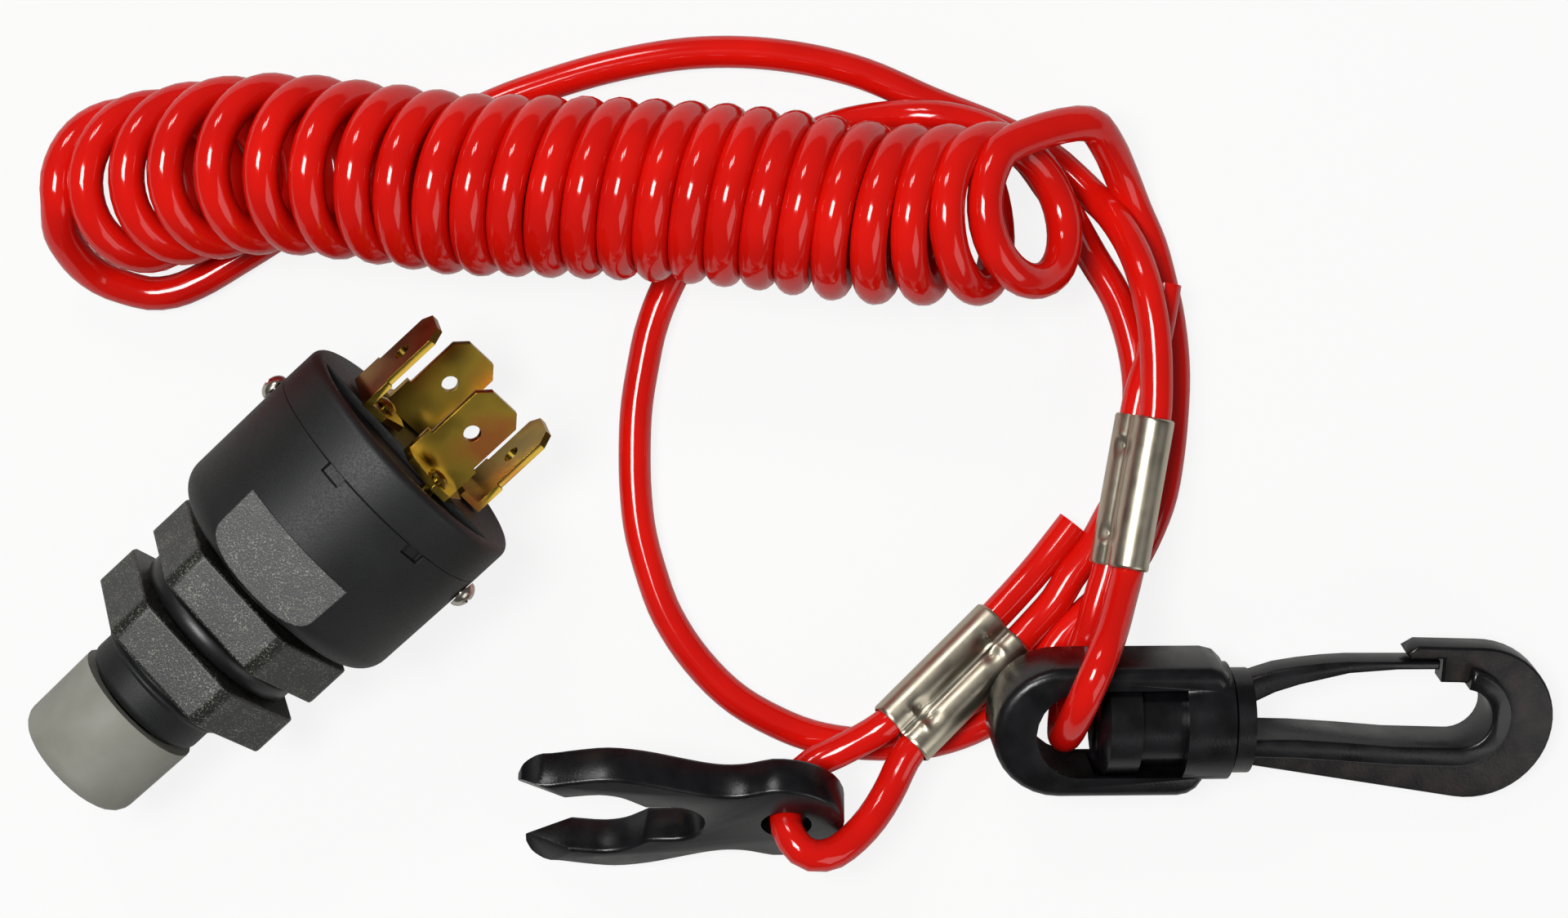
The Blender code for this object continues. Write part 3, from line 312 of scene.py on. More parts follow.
def bmToMesh(bm, name, matrix=None):
    bmesh.ops.recalc_face_normals(bm, faces=bm.faces)
    if matrix:
        bmesh.ops.transform(bm, matrix=matrix, verts=bm.verts)
    mesh = bpy.data.meshes.new(name)
    bm.to_mesh(mesh)
    bm.free()
    return mesh


def easeEdges(piece, width, segments, angle):
    easing = piece.modifiers.new("easedEdges", "BEVEL")
    easing.width = width * mm
    easing.segments = segments
    easing.limit_method = "ANGLE"
    easing.angle_limit = math.radians(angle)


# Copy of a CAD node, welded and with its flat facets joined, edges eased by a small bevel
cadCopy = {"weld": 0.002, "flatAngle": 0.6, "easeSegments": 2}


def refine(node, name, look, body, slotName, angle, ease=0.0):
    bm = bmesh.new()
    bm.from_mesh(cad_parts[node].data)
    bmesh.ops.remove_doubles(bm, verts=bm.verts, dist=cadCopy["weld"] * mm)
    flatAngle = math.radians(cadCopy["flatAngle"])
    bmesh.ops.dissolve_limit(bm, angle_limit=flatAngle, verts=bm.verts, edges=bm.edges)
    piece = addPiece(name, smoothShade(bmToMesh(bm, name), angle), [look], body, slotName, node)
    if ease:
        easeEdges(piece, ease, cadCopy["easeSegments"], angle)
    return piece


# Rings of a turned or threaded form: each profile point gives one ring
def lathe(profile, steps, closed=False, shape=None):
    bm = bmesh.new()
    rings = []
    for r, z in profile:
        ring = []
        for i in range(steps):
            angle = math.tau * i / steps
            radius = shape(r, z, angle) if shape else r
            ring.append(bm.verts.new((radius * math.cos(angle) * mm, radius * math.sin(angle) * mm, z * mm)))
        rings.append(ring)
    pairs = list(zip(rings, rings[1:]))
    if closed:
        pairs.append((rings[-1], rings[0]))
    for low, high in pairs:
        for i in range(steps):
            j = (i + 1) % steps
            bm.faces.new((low[i], low[j], high[j], high[i]))
    if not closed:
        bm.faces.new(rings[0][::-1])
        bm.faces.new(rings[-1])
    bmesh.ops.remove_doubles(bm, verts=bm.verts, dist=0.001 * mm)
    return bm


def arc(centre, radius, start, end, count):
    angles = [math.radians(start + (end - start) * i / count) for i in range(count + 1)]
    return [(centre[0] + radius * math.cos(a), centre[1] + radius * math.sin(a)) for a in angles]


def carve(mesh, cutters):
    target = bpy.data.objects.new("carved", mesh)
    tool = bpy.data.objects.new("carver", cutters)
    for made in (target, tool):
        bpy.context.scene.collection.objects.link(made)
    cut = target.modifiers.new("cut", "BOOLEAN")
    cut.object = tool
    cut.solver = "EXACT"
    bpy.context.view_layer.update()
    result = bpy.data.meshes.new_from_object(target.evaluated_get(bpy.context.evaluated_depsgraph_get()))
    bpy.data.objects.remove(target)
    bpy.data.objects.remove(tool)
    return result


def addBox(bm, low, high, turn=None):
    made = bmesh.ops.create_cube(bm, size=1.0)["verts"]
    size = [(b - a) * mm for a, b in zip(low, high)]
    middle = [(a + b) / 2 * mm for a, b in zip(low, high)]
    bmesh.ops.scale(bm, vec=size, verts=made)
    bmesh.ops.translate(bm, vec=middle, verts=made)
    if turn:
        bmesh.ops.transform(bm, matrix=turn, verts=made)


# Switch housing: cup with two flats and key notches, shoulder rounded as the moulding is
housing = {"rearRadius": 14.8, "frontRadius": 14.6, "shoulder": 3.0, "seam": -4.99, "front": -21.05,
           "flatHeight": 12.757, "flatBack": -13.2, "cavityRadius": 11.257, "cavityFront": -18.9,
           "notchWidth": 2.5, "notchLength": 1.2, "notchDepth": 0.8, "notchAngles": (-10, 37, 170, 217),
           "rimEase": 0.06, "stemHole": 7.6, "flatReach": 17.0, "notchReach": 16.5, "sharpAngle": 28,
           "steps": 144, "shoulderSteps": 12}


def makeHousing():
    h = housing
    shoulder = arc((h["frontRadius"] - h["shoulder"], h["front"] + h["shoulder"]), h["shoulder"], 0, -90,
                   h["shoulderSteps"])
    profile = [(h["rearRadius"] - h["rimEase"], h["seam"]), (h["rearRadius"], h["seam"] - h["rimEase"]), *shoulder,
               (h["stemHole"], h["front"]), (h["stemHole"], h["cavityFront"]),
               (h["cavityRadius"], h["cavityFront"]), (h["cavityRadius"], h["seam"])]
    cup = bmToMesh(lathe(profile, h["steps"], closed=True), "cup")
    tools = bmesh.new()
    reach = h["flatReach"]
    for side in (-1, 1):
        low, high = sorted((side * h["flatHeight"], side * reach))
        addBox(tools, (-reach, low, h["front"] - 1), (reach, high, h["flatBack"]))
    for angle in h["notchAngles"]:
        addBox(tools, (-h["notchWidth"] / 2, h["rearRadius"] - h["notchDepth"], h["seam"] - h["notchLength"]),
               (h["notchWidth"] / 2, h["notchReach"], h["seam"] + 1), Matrix.Rotation(math.radians(angle), 4, "Z"))
    cup = carve(cup, bmToMesh(tools, "tools"))
    # The flats take the gritty nylon, whose grey specks are painted sparkle; the rest of the cup takes the plain
    # nylon
    for face in cup.polygons:
        flat = abs(face.normal.y) > 0.999 and abs(abs(face.center.y) - h["flatHeight"] * mm) < 0.01 * mm
        face.material_index = 1 if flat else 0
    indices = [face.material_index for face in cup.polygons]
    cup.transform(switchMatrix)
    cup = smoothShade(cup, h["sharpAngle"])
    piece = addPiece("switchHousing", cup, [nylon, grittyPaintedSparkle], "switch", "switch_housing", "front_shell")
    for face, index in zip(piece.data.polygons, indices):
        face.material_index = index
    return piece


# Threaded stem with its nose: right-hand thread, 17 mm across and 1.5 mm from crest to crest
stem = {"crest": 8.5, "root": 7.72, "pitch": 1.5, "back": -20.5, "front": -37.5, "runout": 1.0,
        "noseRadius": 7.45, "noseFront": -41.0, "noseRound": 1.1, "rodBore": 3.55, "springBore": 5.6,
        "springEnd": -35.5, "groove": 4.8, "grooveBack": -37.1, "grooveFront": -38.9, "boreEase": 0.25,
        "rootFlat": 0.12, "flankShare": 0.76, "runoutHeight": 0.35, "steps": 72, "perPitch": 10, "noseSteps": 6,
        "sharpAngle": 50}


def threadRadius(r, z, angle):
    if r < stem["crest"] or z > stem["back"]:
        return r
    phase = (z / stem["pitch"] - angle / math.tau) % 1.0
    flank = min(1.0, max(0.0, (abs(phase - 0.5) * 2 - stem["rootFlat"]) / stem["flankShare"]))
    fade = min(1.0, max(0.0, (z - stem["front"]) / stem["runout"]))
    height = stem["runoutHeight"] + (1 - stem["runoutHeight"]) * fade
    return stem["root"] + (stem["crest"] - stem["root"]) * flank * height


def makeStem():
    s = stem
    count = round((s["back"] - s["front"]) / s["pitch"] * s["perPitch"])
    threaded = [(s["crest"], s["back"] + (s["front"] - s["back"]) * i / count) for i in range(count + 1)]
    nose = arc((s["noseRadius"] - s["noseRound"], s["noseFront"] + s["noseRound"]), s["noseRound"], 0, -90,
               s["noseSteps"])
    profile = [(s["springBore"], s["back"]), *threaded, (s["noseRadius"], s["front"]), *nose,
               (s["rodBore"] + s["boreEase"], s["noseFront"]), (s["rodBore"], s["noseFront"] + s["boreEase"]),
               (s["rodBore"], s["grooveFront"]), (s["groove"], s["grooveFront"]), (s["groove"], s["grooveBack"]),
               (s["rodBore"], s["grooveBack"]), (s["rodBore"], s["springEnd"]), (s["springBore"], s["springEnd"])]
    body = bmToMesh(lathe(profile, s["steps"], closed=True, shape=threadRadius), "stem", switchMatrix)
    return addPiece("threadedStem", smoothShade(body, s["sharpAngle"]), [nylon], "switch", "switch_housing")


# Terminal base: rear disc with its rim, and the recess that the blades stand in
base = {"radius": 14.8, "rimRound": 1.0, "seam": -4.95, "spigotRadius": 10.957, "spigotFront": -7.0,
        "recessDepth": 0.9, "recessStart": 4.7, "lip": 1.3, "rimEase": 0.06, "middle": 0.0001, "steps": 144,
        "rimSteps": 6, "recessSteps": 40, "sharpAngle": 28}


def makeBase():
    b = base
    rim = arc((b["radius"] - b["rimRound"], -b["rimRound"]), b["rimRound"], 90, 0, b["rimSteps"])
    profile = [(b["middle"], 0), *rim, (b["radius"], b["seam"] + b["rimEase"]),
               (b["radius"] - b["rimEase"], b["seam"]), (b["spigotRadius"], b["seam"]),
               (b["spigotRadius"], b["spigotFront"]), (b["middle"], b["spigotFront"])]
    disc = bmToMesh(lathe(profile, b["steps"]), "disc")
    recess = b["radius"] - b["lip"]
    halfAngle = math.degrees(math.acos(b["recessStart"] / recess))
    outline = arc((0, 0), recess, 90 - halfAngle, 90 + halfAngle, b["recessSteps"])
    tools = bmesh.new()
    lower = [tools.verts.new((x * mm, y * mm, -b["recessDepth"] * mm)) for x, y in outline]
    upper = [tools.verts.new((x * mm, y * mm, 1.0 * mm)) for x, y in outline]
    tools.faces.new(lower)
    tools.faces.new(upper)
    for i in range(len(outline)):
        j = (i + 1) % len(outline)
        tools.faces.new((lower[i], lower[j], upper[j], upper[i]))
    disc = carve(disc, bmToMesh(tools, "recess"))
    disc.transform(switchMatrix)
    return addPiece("terminalBase", smoothShade(disc, b["sharpAngle"]), [nylon], "switch", "switch_housing",
                    "terminal_base")


# Panel nuts: hexagon with a narrow band down each corner, arrises eased
nut = {"acrossFlats": 22.4, "cornerBand": 1.2, "thickness": 5.2, "bore": 8.72, "ease": 0.28, "easeSegments": 3,
       "sharpAngle": 25, "steps": 72}


def makeNut(name, back, body, node):
    n = nut
    apothem = n["acrossFlats"] / 2
    halfFace = (apothem - n["cornerBand"]) / math.sqrt(3)
    outline = []
    for face in range(6):
        middle = math.radians(90 + 60 * face)
        for across in (-halfFace, halfFace):
            outline.append((apothem * math.cos(middle) - across * math.sin(middle),
                            apothem * math.sin(middle) + across * math.cos(middle)))
    bm = bmesh.new()
    bore = arc((0, 0), n["bore"], 0, 360 - 360 / n["steps"], n["steps"] - 1)
    for z in (back, back - n["thickness"]):
        rims = []
        for loop in (outline, bore):
            verts = [bm.verts.new((x * mm, y * mm, z * mm)) for x, y in loop]
            rims += [bm.edges.new((verts[i], verts[(i + 1) % len(verts)])) for i in range(len(verts))]
        bmesh.ops.triangle_fill(bm, use_beauty=True, edges=rims)
    inner = [edge for edge in bm.edges if len(edge.link_faces) == 2]
    bmesh.ops.dissolve_limit(bm, angle_limit=0.01, verts=[], edges=inner)
    total = len(outline) + len(bore)
    bm.verts.ensure_lookup_table()
    for start, size in ((0, len(outline)), (len(outline), len(bore))):
        for i in range(size):
            j = (i + 1) % size
            bm.faces.new((bm.verts[start + i], bm.verts[start + j],
                          bm.verts[total + start + j], bm.verts[total + start + i]))
    mesh = smoothShade(bmToMesh(bm, name, switchMatrix), n["sharpAngle"])
    # The nuts take the gritty nylon, whose grey specks are painted sparkle
    piece = addPiece(name, mesh, [grittyPaintedSparkle], body, "nut", node)
    easeEdges(piece, n["ease"], n["easeSegments"], n["sharpAngle"])
    return piece


# Side screws: pan head with a cross recess, nickel plated
screw = {"headRadius": 1.6, "headHeight": 1.2, "shankRadius": 0.8, "seat": 14.9, "inner": 8.1, "place": -6.85,
         "slotWidth": 0.42, "slotDepth": 0.6, "slotShare": 0.62, "middle": 0.0001, "steps": 32,
         "domeAngles": (4, 91, 8), "sharpAngle": 40}


def makeScrew(number, side):
    s = screw
    dome = [(s["headRadius"] * math.sin(math.radians(a)), s["seat"] + s["headHeight"] * math.cos(math.radians(a)))
            for a in range(*s["domeAngles"])]
    top = s["seat"] + s["headHeight"]
    profile = [(s["middle"], top), *dome, (s["headRadius"], s["seat"]), (s["shankRadius"], s["seat"]),
               (s["shankRadius"], s["inner"]), (s["middle"], s["inner"])]
    head = bmToMesh(lathe(profile, s["steps"]), "screw")
    reach = s["headRadius"] * s["slotShare"]
    half = s["slotWidth"] / 2
    for across, along in ((reach, half), (half, reach)):
        tools = bmesh.new()
        addBox(tools, (-across, -along, top - s["slotDepth"]), (across, along, top + 1))
        head = carve(head, bmToMesh(tools, "slot"))
    head.transform(switchMatrix @ Matrix.Translation((0, 0, s["place"] * mm))
                   @ Matrix.Rotation(side * math.pi / 2, 4, "Y"))
    head = smoothShade(head, s["sharpAngle"])
    return addPiece(f"sideScrew{number}", head, [screwNickel], "switch", "screw_steel", f"side_screw_{number}")


makeHousing()
makeStem()
makeBase()
makeNut("rearNut", -22.1, "switch", "rear_nut")
makeNut("frontNut", -30.1, "front_nut", "front_nut")
makeScrew(1, 1)
makeScrew(2, -1)
print("switch housing, stem, base, nuts and screws made")

for number in (1, 2, 3, 4):
    refine(f"terminal_{number}", f"terminalBlade{number}", brass, "switch", "terminal_brass", angle=30, ease=0.1)
    refine(f"terminal_rivet_{number}", f"terminalRivet{number}", brass, "switch", "terminal_brass", angle=50)
refine("panel_gasket", "panelWasher", rubber, "washer", "seal_rubber", angle=60)
refine("stem_seal", "stemSeal", rubber, "switch", "seal_rubber", angle=80)
refine("button_cap", "buttonCap", capGrey, "button", "button", angle=40)
refine("plunger", "plungerRod", acetal, "button", "black_plastic", angle=40)
for number in (1, 2):
    refine(f"contact_bridge_{number}", f"contactBridge{number}", brass, "button", "terminal_brass",
           angle=40, ease=0.1)
    refine(f"contact_spring_{number}", f"contactSpring{number}", steel, "button", "spring_steel", angle=60)

# Return spring: 17.4 mm long, given a mesh of its own; the 5 mm pull that squeezes it towards its front seat is
# not applied here
coilSpring = refine("return_spring", "returnSpring", steel, "switch", "spring_steel", angle=60)
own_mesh(coilSpring)
print("terminals, washer, cap, plunger and springs dressed")

refine("fork_clip", "forkClip", acetal, "switch", "black_plastic", angle=38)
refine("swivel_eye", "swivelEye", acetal, "switch", "black_plastic", angle=38)
snapHook = refine("snap_hook", "snapHook", acetal, "hook", "black_plastic", angle=38)

# Faces of the hook's thin web, between its rails, keep the mould's rough skin
hookWeb = {"origin": (49.32, -13.73, 6.65), "across": (0.0824, -0.3256, 0.9419), "half": 1.6, "within": 0.05,
           "facing": 0.99}
webOrigin = Vector(hookWeb["origin"]) * mm
webAcross = Vector(hookWeb["across"])
snapHook.data.materials.append(roughAcetal)
for face in snapHook.data.polygons:
    high = abs((face.center - webOrigin).dot(webAcross))
    onWeb = abs(high - hookWeb["half"] * mm) < hookWeb["within"] * mm
    if onWeb and abs(face.normal.dot(webAcross)) > hookWeb["facing"]:
        face.material_index = 1
print("clip, eye and hook dressed")

# Lanyard cord
cord = {"radius": 1.8, "coilSwell": 1.09, "swellTurns": 0.6, "coilRadius": 7.93, "firstTurn": 0.97,
        "lastTurn": 25.16, "perTurn": 26, "samples": 12, "step": 1.3, "bevelSteps": 7}

# Pixels of the photograph: front strand of each turn across it, and the coil's middle line down it, by turn
photoScale = {"middle": (960, 562), "pixelsPerMm": 10.9}
frontStrands = (70, 104, 155, 202, 260, 320, 376, 432, 481, 530, 577, 623, 670, 715, 760, 804, 849, 893, 937, 981,
                1023, 1069, 1115, 1159, 1206)
middleRows = ((1, 232), (2, 222), (3, 212), (4, 205), (5, 200), (6, 202), (7, 208), (10, 226), (13, 229),
              (15, 232), (17, 237), (19, 245), (21, 258), (22, 263), (24, 263), (25, 252), (25.4, 240))

# Millimetres by turn: how far right of its top the turn's middle lies, how far right its edge towards the
# photograph's upper side leans, and how high its axis is
leanOut = ((1, 6.2), (3, 6.0), (4, 5.4), (5, 4.8), (7, 3.6), (10, 2.4), (13, 1.8), (17, 1.5), (20, 1.3), (22, 2.6),
           (23, 3.4), (24, 4.6), (24.5, 5.6), (25, 6.4), (25.4, 6.6))
leanOver = ((1, 0.0), (4, 0.0), (7, 0.2), (10, 0.9), (13, 1.15), (20, 1.25), (22, 1.0), (23, 0.5), (24, -0.5),
            (25.4, -0.5))
axisHeight = ((1, 6.6), (2, 8.1), (3, 9.2), (4, 10.6), (5, 11.9), (6, 12.9), (7, 13.5), (8, 13.65), (25.4, 13.65))


def fromTable(table, u):
    if u <= table[0][0]:
        return table[0][1]
    for (a, p), (b, q) in zip(table, table[1:]):
        if u <= b:
            return p + (q - p) * (u - a) / (b - a)
    return table[-1][1]


def nearer(z):
    return (cameraView["height"] - z) / cameraView["height"]


def coilPoint(u):
    c = cord["coilRadius"]
    middleAcross, middleDown = photoScale["middle"]
    perMm = photoScale["pixelsPerMm"]
    lean = fromTable(leanOut, u)
    rise = math.sqrt(c * c - lean * lean)
    strands = []
    for turn, pixel in enumerate(frontStrands, 1):
        top = fromTable(axisHeight, turn) + math.sqrt(c * c - fromTable(leanOut, turn) ** 2)
        strands.append((turn, (pixel - middleAcross) / perMm * nearer(top)))
    strands.append((len(frontStrands) + 1, 2 * strands[-1][1] - strands[-2][1]))
    height = fromTable(axisHeight, u)
    row = (middleDown - fromTable(middleRows, u)) / perMm * nearer(height)
    wave = math.cos(math.tau * u)
    side = math.sin(math.tau * u)
    return Vector((fromTable(strands, u) + lean * (1 - wave) + fromTable(leanOver, u) * side,
                   row + c * side, height + rise * wave))


def smoothLine(points, samples):
    points = [Vector(p) for p in points]
    points = [2 * points[0] - points[1], *points, 2 * points[-1] - points[-2]]
    line = []
    for p0, p1, p2, p3 in zip(points, points[1:], points[2:], points[3:]):
        t1 = math.sqrt((p1 - p0).length)
        t2 = t1 + math.sqrt((p2 - p1).length)
        t3 = t2 + math.sqrt((p3 - p2).length)
        for i in range(samples):
            t = t1 + (t2 - t1) * i / samples
            a1 = p0.lerp(p1, t / t1)
            a2 = p1.lerp(p2, (t - t1) / (t2 - t1))
            a3 = p2.lerp(p3, (t - t2) / (t3 - t2))
            b1 = a1.lerp(a2, t / t2)
            b2 = a2.lerp(a3, (t - t1) / (t3 - t1))
            line.append(b1.lerp(b2, (t - t1) / (t2 - t1)))
    line.append(points[-2])
    return line


# Crimped ferrules: middle line from low to top end, and how far each is rolled
ferrule = {"length": 16.8, "radius": 2.225, "wall": 0.24, "spacing": 3.9, "fillet": 0.55, "waistReach": 1.1,
           "waistLimit": 0.3, "dentPlace": 4.9, "dentLength": 0.85, "dentDepth": 0.5, "dentAcross": 0.95,
           "dentWidth": 0.6, "dentLip": 0.28, "lipPlace": 1.15, "lipLength": 0.35, "endLength": 0.25,
           "endTaper": 0.05, "rings": 84, "sides": 96, "sharpAngle": 50, "cordReach": 0.3,
           "cordStops": (-1.0, -0.35, 0.35, 1.0)}
ferruleLies = {
    "hook": {"low": (36.75, -12.10, 7.73), "top": (39.78, 4.83, 7.73), "roll": 63.0},
    "clip": {"low": (12.82, -30.45, 6.7), "top": (24.66, -19.05, 2.9), "roll": 0.0},
}


def ferruleMatrix(lie):
    low = Vector(lie["low"])
    top = Vector(lie["top"])
    along = (top - low).normalized()
    level = along.cross(Vector((0, 0, 1))).normalized()
    roll = math.radians(lie["roll"])
    across = level * math.cos(roll) + level.cross(along) * math.sin(roll)
    turned = Matrix((across, along.cross(across), along)).transposed().to_4x4()
    return Matrix.Translation((low + top) / 2) @ turned


def barrelPoints(lie, side):
    reach = ferrule["length"] / 2 + ferrule["cordReach"]
    place = ferruleMatrix(lie)
    return [place @ Vector((side * ferrule["spacing"] / 2, 0, reach * stop)) for stop in ferrule["cordStops"]]


# Free stretches, in millimetres from the middle of the table
hookFreeEnd = ((39.4, 7.4, 6.0), (40.6, 11.1, 5.7), (41.6, 15.5, 5.6), (42.2, 19.4, 5.6))
eyeLoop = ((36.7, -15.1, 11.3), (35.5, -18.4, 14.2), (34.2, -21.3, 16.6), (32.8, -24.5, 16.8), (31.5, -28.0, 14.2),
           (30.9, -30.2, 9.6), (30.9, -30.2, 5.6), (31.2, -28.2, 3.6), (31.7, -25.3, 3.3), (32.7, -22.1, 3.9),
           (33.8, -19.3, 5.4), (34.8, -15.6, 5.8))
leftRoute = ((-79.3, 25.0, 9.1), (-78.6, 22.9, 6.6), (-77.4, 21.2, 4.3), (-75.6, 19.9, 2.8), (-73.4, 19.1, 2.2),
             (-70.8, 18.5, 1.8), (-68.0, 18.8, 1.8), (-64.9, 20.1, 1.8),
             (-61.7, 22.0, 1.8), (-57.5, 24.6, 1.8), (-51.1, 28.9, 1.8), (-44.7, 33.1, 1.8), (-39.3, 36.2, 1.8),
             (-32.9, 39.4, 1.8), (-28.3, 41.2, 1.8), (-19.2, 43.9, 1.8), (-10.0, 45.4, 1.8), (-0.9, 45.2, 1.8),
             (8.2, 43.3, 1.8), (16.7, 39.7, 1.8), (24.2, 36.7, 1.8), (29.6, 33.8, 1.8), (32.2, 31.6, 1.9),
             (34.4, 29.4, 2.5), (36.3, 27.3, 3.9), (38.3, 23.6, 6.4), (39.5, 19.8, 8.5), (40.3, 15.9, 9.2),
             (40.7, 12.3, 9.4), (40.8, 8.4, 9.45))
rightRoute = ((33.2, 36.6, 10.6), (35.6, 34.6, 7.4), (37.5, 31.4, 4.2), (39.2, 27.7, 2.3), (40.9, 23.9, 1.8),
              (42.1, 19.5, 1.8), (43.0, 15.2, 1.8),
              (43.5, 10.0, 1.8), (43.4, 5.7, 1.8), (42.9, 0.3, 1.8), (42.1, -4.2, 1.8), (40.7, -8.0, 1.8),
              (39.1, -11.1, 1.8), (36.9, -14.1, 1.8), (34.3, -16.8, 1.8), (31.4, -19.3, 1.8), (29.2, -22.5, 1.8),
              (26.4, -26.2, 1.8), (22.5, -29.4, 1.8), (17.3, -31.4, 1.8), (12.9, -31.9, 1.8), (8.2, -31.8, 1.8),
              (3.7, -31.1, 1.8), (0.0, -29.8, 1.8), (-5.5, -26.7, 1.8), (-10.0, -22.2, 1.8), (-13.2, -17.2, 1.8),
              (-14.9, -12.6, 1.8), (-16.1, -8.0, 1.8), (-16.6, -3.5, 1.8), (-16.7, 1.1, 1.8), (-16.5, 5.7, 1.8),
              (-15.8, 10.2, 1.8), (-14.8, 14.8, 1.8), (-12.8, 19.8, 1.8), (-9.0, 26.2, 1.8), (-4.1, 31.2, 1.8),
              (3.8, 36.4, 1.8), (6.8, 37.4, 2.2), (10.1, 37.9, 3.4), (13.4, 38.0, 4.9), (16.7, 37.9, 5.6),
              (20.1, 37.3, 5.6), (23.2, 36.1, 5.6), (26.8, 33.5, 5.5), (29.5, 29.9, 5.3), (31.1, 27.8, 4.8),
              (32.4, 25.8, 3.6), (34.5, 22.5, 1.9), (37.2, 18.0, 1.8), (38.9, 13.0, 1.8), (39.6, 8.4, 1.8),
              (39.5, 5.1, 1.8), (38.9, 0.2, 1.8), (38.0, -3.5, 1.8), (36.4, -6.4, 1.8), (34.2, -10.3, 2.2),
              (32.1, -12.9, 2.3), (30.4, -15.7, 2.3), (28.2, -18.2, 2.4))
clipLoop = ((13.0, -33.6, 6.9), (11.6, -36.5, 7.3), (9.7, -39.4, 8.4), (7.3, -41.8, 9.8), (5.0, -43.1, 11.1),
            (2.4, -42.9, 12.0),
            (0.5, -40.75, 11.3), (0.25, -38.3, 9.4), (0.9, -36.0, 7.3), (2.9, -33.9, 6.0), (6.9, -31.9, 6.1))
clipFreeEnd = ((28.1, -12.5, 1.9), (32.3, -7.2, 1.8))


def makeCord():
    hookSleeve = ferruleLies["hook"]
    clipSleeve = ferruleLies["clip"]
    hookTail = [*leftRoute, *reversed(barrelPoints(hookSleeve, 1)), *eyeLoop, *barrelPoints(hookSleeve, -1),
                *hookFreeEnd]
    clipTail = [*rightRoute, *reversed(barrelPoints(clipSleeve, 1)), *clipLoop, *barrelPoints(clipSleeve, -1),
                *clipFreeEnd]
    count = int((cord["lastTurn"] - cord["firstTurn"]) * cord["perTurn"]) + 1
    coil = [coilPoint(cord["firstTurn"] + i / cord["perTurn"]) for i in range(count)]
    samples = cord["samples"]
    fine = smoothLine([*reversed(hookTail), *coil, *clipTail], samples)
    kept = [fine[0]]
    turnOf = [-len(hookTail) / cord["perTurn"]]
    run = 0.0
    for i, (before, here) in enumerate(zip(fine, fine[1:])):
        run += (here - before).length
        if run >= cord["step"]:
            kept.append(here)
            turnOf.append(((i + 1) / samples - len(hookTail)) / cord["perTurn"])
            run = 0.0
    kept.append(fine[-1])
    turnOf.append(turnOf[-1])
    points = [(p + viewShift) * mm for p in kept]
    data = bpy.data.curves.new("lanyardCord", "CURVE")
    data.dimensions = "3D"
    data.bevel_depth = cord["radius"] * mm
    data.bevel_resolution = cord["bevelSteps"]
    data.use_fill_caps = True
    spline = data.splines.new("POLY")
    spline.points.add(len(points) - 1)
    for point, place, turn in zip(spline.points, points, turnOf):
        point.co = (*place, 1.0)
        inside = min(1.0, max(0.0, min(turn, len(coil) / cord["perTurn"] - turn) / cord["swellTurns"] + 1))
        point.radius = 1 + (cord["coilSwell"] - 1) * inside
    spline.use_smooth = True
    data.materials.append(redCord)
    piece = bpy.data.objects.new("lanyardCord", data)
    bpy.context.scene.collection.objects.link(piece)
    length = sum((b - a).length for a, b in zip(points, points[1:]))
    print(f"cord: {length:.3f} m on {len(points)} points")
    return piece, points, length


# Sleeve section: two circles with a filleted waist, right side first
def sleevePoint(angle, radius):
    half = ferrule["spacing"] / 2
    direction = Vector((math.cos(angle), math.sin(angle)))
    reach = 0.0
    for side in (-1, 1):
        along = side * half * direction.x
        inside = radius * radius - (half * direction.y) ** 2
        if inside > 0:
            reach = max(reach, along + math.sqrt(inside))
    waist = math.sqrt(radius * radius - half * half) + ferrule["fillet"]
    blend = max(0.0, 1 - abs(direction.x) * reach / ferrule["waistReach"])
    upright = max(abs(direction.y), ferrule["waistLimit"])
    return direction * max(reach, waist / upright * blend + reach * (1 - blend))


# Each dent is a dimple with a raised lip beside it, and the sleeve's ends taper a little
def sleeveShape(point, z):
    f = ferrule
    off = abs(z) - f["dentPlace"]
    along = off / f["dentLength"]
    sideways = (abs(point.x) - f["dentAcross"]) / f["dentWidth"]
    dent = f["dentDepth"] * math.exp(-along * along) * math.exp(-sideways * sideways)
    lip = f["dentLip"] * math.exp(-((off - f["lipPlace"]) / f["lipLength"]) ** 2 - sideways * sideways)
    end = max(0.0, 1 - (f["length"] / 2 - abs(z)) / f["endLength"])
    return point * (1 - (dent - lip) / point.length) * (1 - f["endTaper"] * end * end)


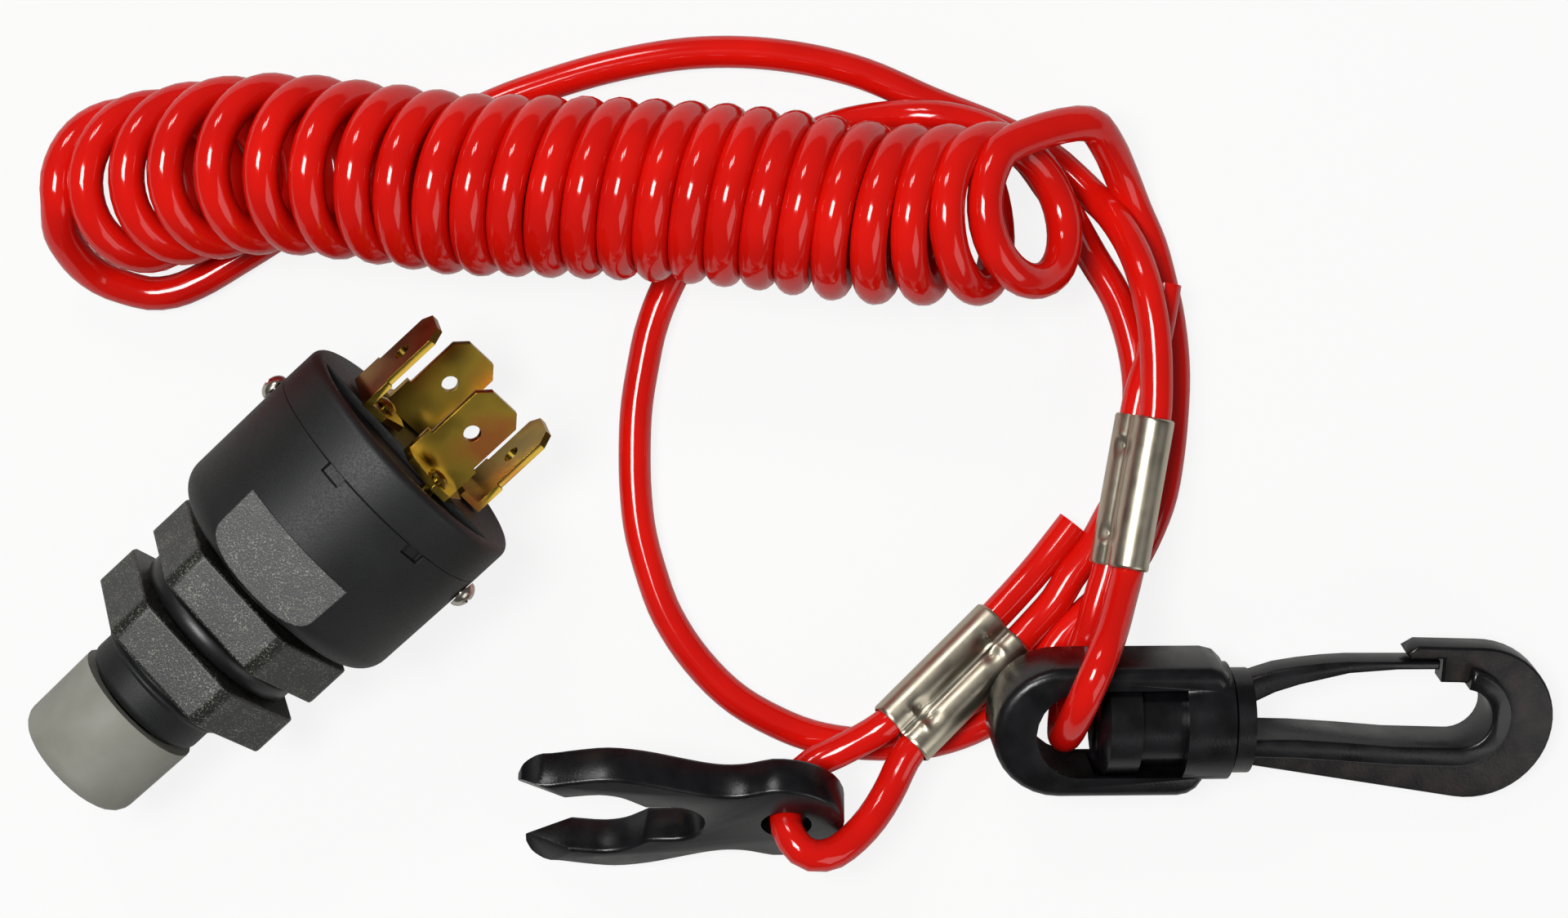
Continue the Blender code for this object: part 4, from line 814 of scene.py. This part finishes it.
def makeFerrule(name, lie, node):
    f = ferrule
    angles = [math.tau * i / f["sides"] for i in range(f["sides"])]
    half = f["length"] / 2
    bm = bmesh.new()
    layers = []
    for inner in (False, True):
        rings = []
        for k in range(f["rings"] + 1):
            z = -half + f["length"] * k / f["rings"]
            ring = []
            for angle in angles:
                point = sleevePoint(angle, f["radius"] - (f["wall"] if inner else 0.0))
                if not inner:
                    point = sleeveShape(point, z)
                ring.append(bm.verts.new((point.x * mm, point.y * mm, z * mm)))
            rings.append(ring)
        layers.append(rings)
    count = len(angles)
    for rings in layers:
        for low, high in zip(rings, rings[1:]):
            for i in range(count):
                j = (i + 1) % count
                bm.faces.new((low[i], low[j], high[j], high[i]))
    for end in (0, -1):
        outer, inner = layers[0][end], layers[1][end]
        for i in range(count):
            j = (i + 1) % count
            bm.faces.new((outer[i], outer[j], inner[j], inner[i]))
    place = ferruleMatrix(lie)
    place = Matrix.Translation((place.to_translation() + viewShift) * mm) @ place.to_3x3().to_4x4()
    along = place.to_3x3() @ Vector((0, 0, 1))
    look = makeNickelPlate(name + "Nickel", "#c6bda9", 0.34, along)
    sleeve = smoothShade(bmToMesh(bm, name, place), f["sharpAngle"])
    return addPiece(name, sleeve, [look], "switch", "ferrule_metal", node)


sleeveHook = makeFerrule("ferruleAtHook", ferruleLies["hook"], "ferrule_hook")
sleeveClip = makeFerrule("ferruleAtClip", ferruleLies["clip"], "ferrule_clip")
lanyard, lanyardPoints, lanyardLength = makeCord()
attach(lanyard, "switch")
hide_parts("lanyard_coil", "lanyard_tail_hook", "lanyard_tail_clip")
print("ferrules and cord made")


# Floor and background: pale, kept white for the camera, with a soft shadow left in
floorLook = {"white": 0.84, "glow": 1.03, "half": 4.0}
look, tree, shader, _ = startMaterial("paleFloor", "#cfcfcd", 0.9)
glow = addNode(tree, "ShaderNodeEmission", {"Color": (1, 1, 1, 1), "Strength": floorLook["glow"]})
path = addNode(tree, "ShaderNodeLightPath")
share = addNode(tree, "ShaderNodeMath", {0: path.outputs["Is Camera Ray"], 1: floorLook["white"]},
                operation="MULTIPLY")
mix = addNode(tree, "ShaderNodeMixShader", {"Fac": share.outputs["Value"], 1: shader.outputs["BSDF"],
                                            2: glow.outputs["Emission"]})
tree.links.new(mix.outputs["Shader"], tree.nodes["Material Output"].inputs["Surface"])
floorMesh = bpy.data.meshes.new("floor")
corners = [(x * floorLook["half"], y * floorLook["half"], 0) for x, y in ((-1, -1), (1, -1), (1, 1), (-1, 1))]
floorMesh.from_pydata(corners, [], [(0, 1, 2, 3)])
floorMesh.materials.append(look)
floor = bpy.data.objects.new("floor", floorMesh)
bpy.context.scene.collection.objects.link(floor)

# Surroundings: dim for the pieces, white for the camera
surroundings = {"light": 0.09, "seen": 1.0}
world = bpy.data.worlds.new("studio")
bpy.context.scene.world = world
world.use_nodes = True
tree = world.node_tree
air = tree.nodes["Background"]
path = addNode(tree, "ShaderNodeLightPath")
bright = addNode(tree, "ShaderNodeMapRange", {"Value": path.outputs["Is Camera Ray"],
                                              "To Min": surroundings["light"], "To Max": surroundings["seen"]})
air.inputs["Color"].default_value = (1.0, 1.0, 1.0, 1.0)
tree.links.new(bright.outputs["Result"], air.inputs["Strength"])

# Softbox near the camera greys the upward faces, two window panes give the cord its sharp lights
lamps = {
    "softbox": {"at": (-0.18, 0.06, 0.63), "size": (0.2, 0.2), "watts": 3.1},
    "leftPane": {"at": (-0.26, 0.52, 0.52), "size": (0.07, 0.14), "watts": 0.5},
    "rightPane": {"at": (-0.15, 0.54, 0.52), "size": (0.07, 0.14), "watts": 0.5},
    "lowFill": {"at": (0.55, -0.45, 0.45), "size": (0.5, 0.5), "watts": 1.2},
}
for name, lamp in lamps.items():
    light = bpy.data.lights.new(name, "AREA")
    light.shape = "RECTANGLE"
    light.size, light.size_y = lamp["size"]
    light.energy = lamp["watts"]
    made = bpy.data.objects.new(name, light)
    bpy.context.scene.collection.objects.link(made)
    made.location = lamp["at"]
    made.rotation_euler = (Vector((0, 0, 0)) - Vector(lamp["at"])).to_track_quat("-Z", "Y").to_euler()
    made.visible_camera = False
bpy.context.scene.view_settings.view_transform = "Standard"
print("stage and lamps made")
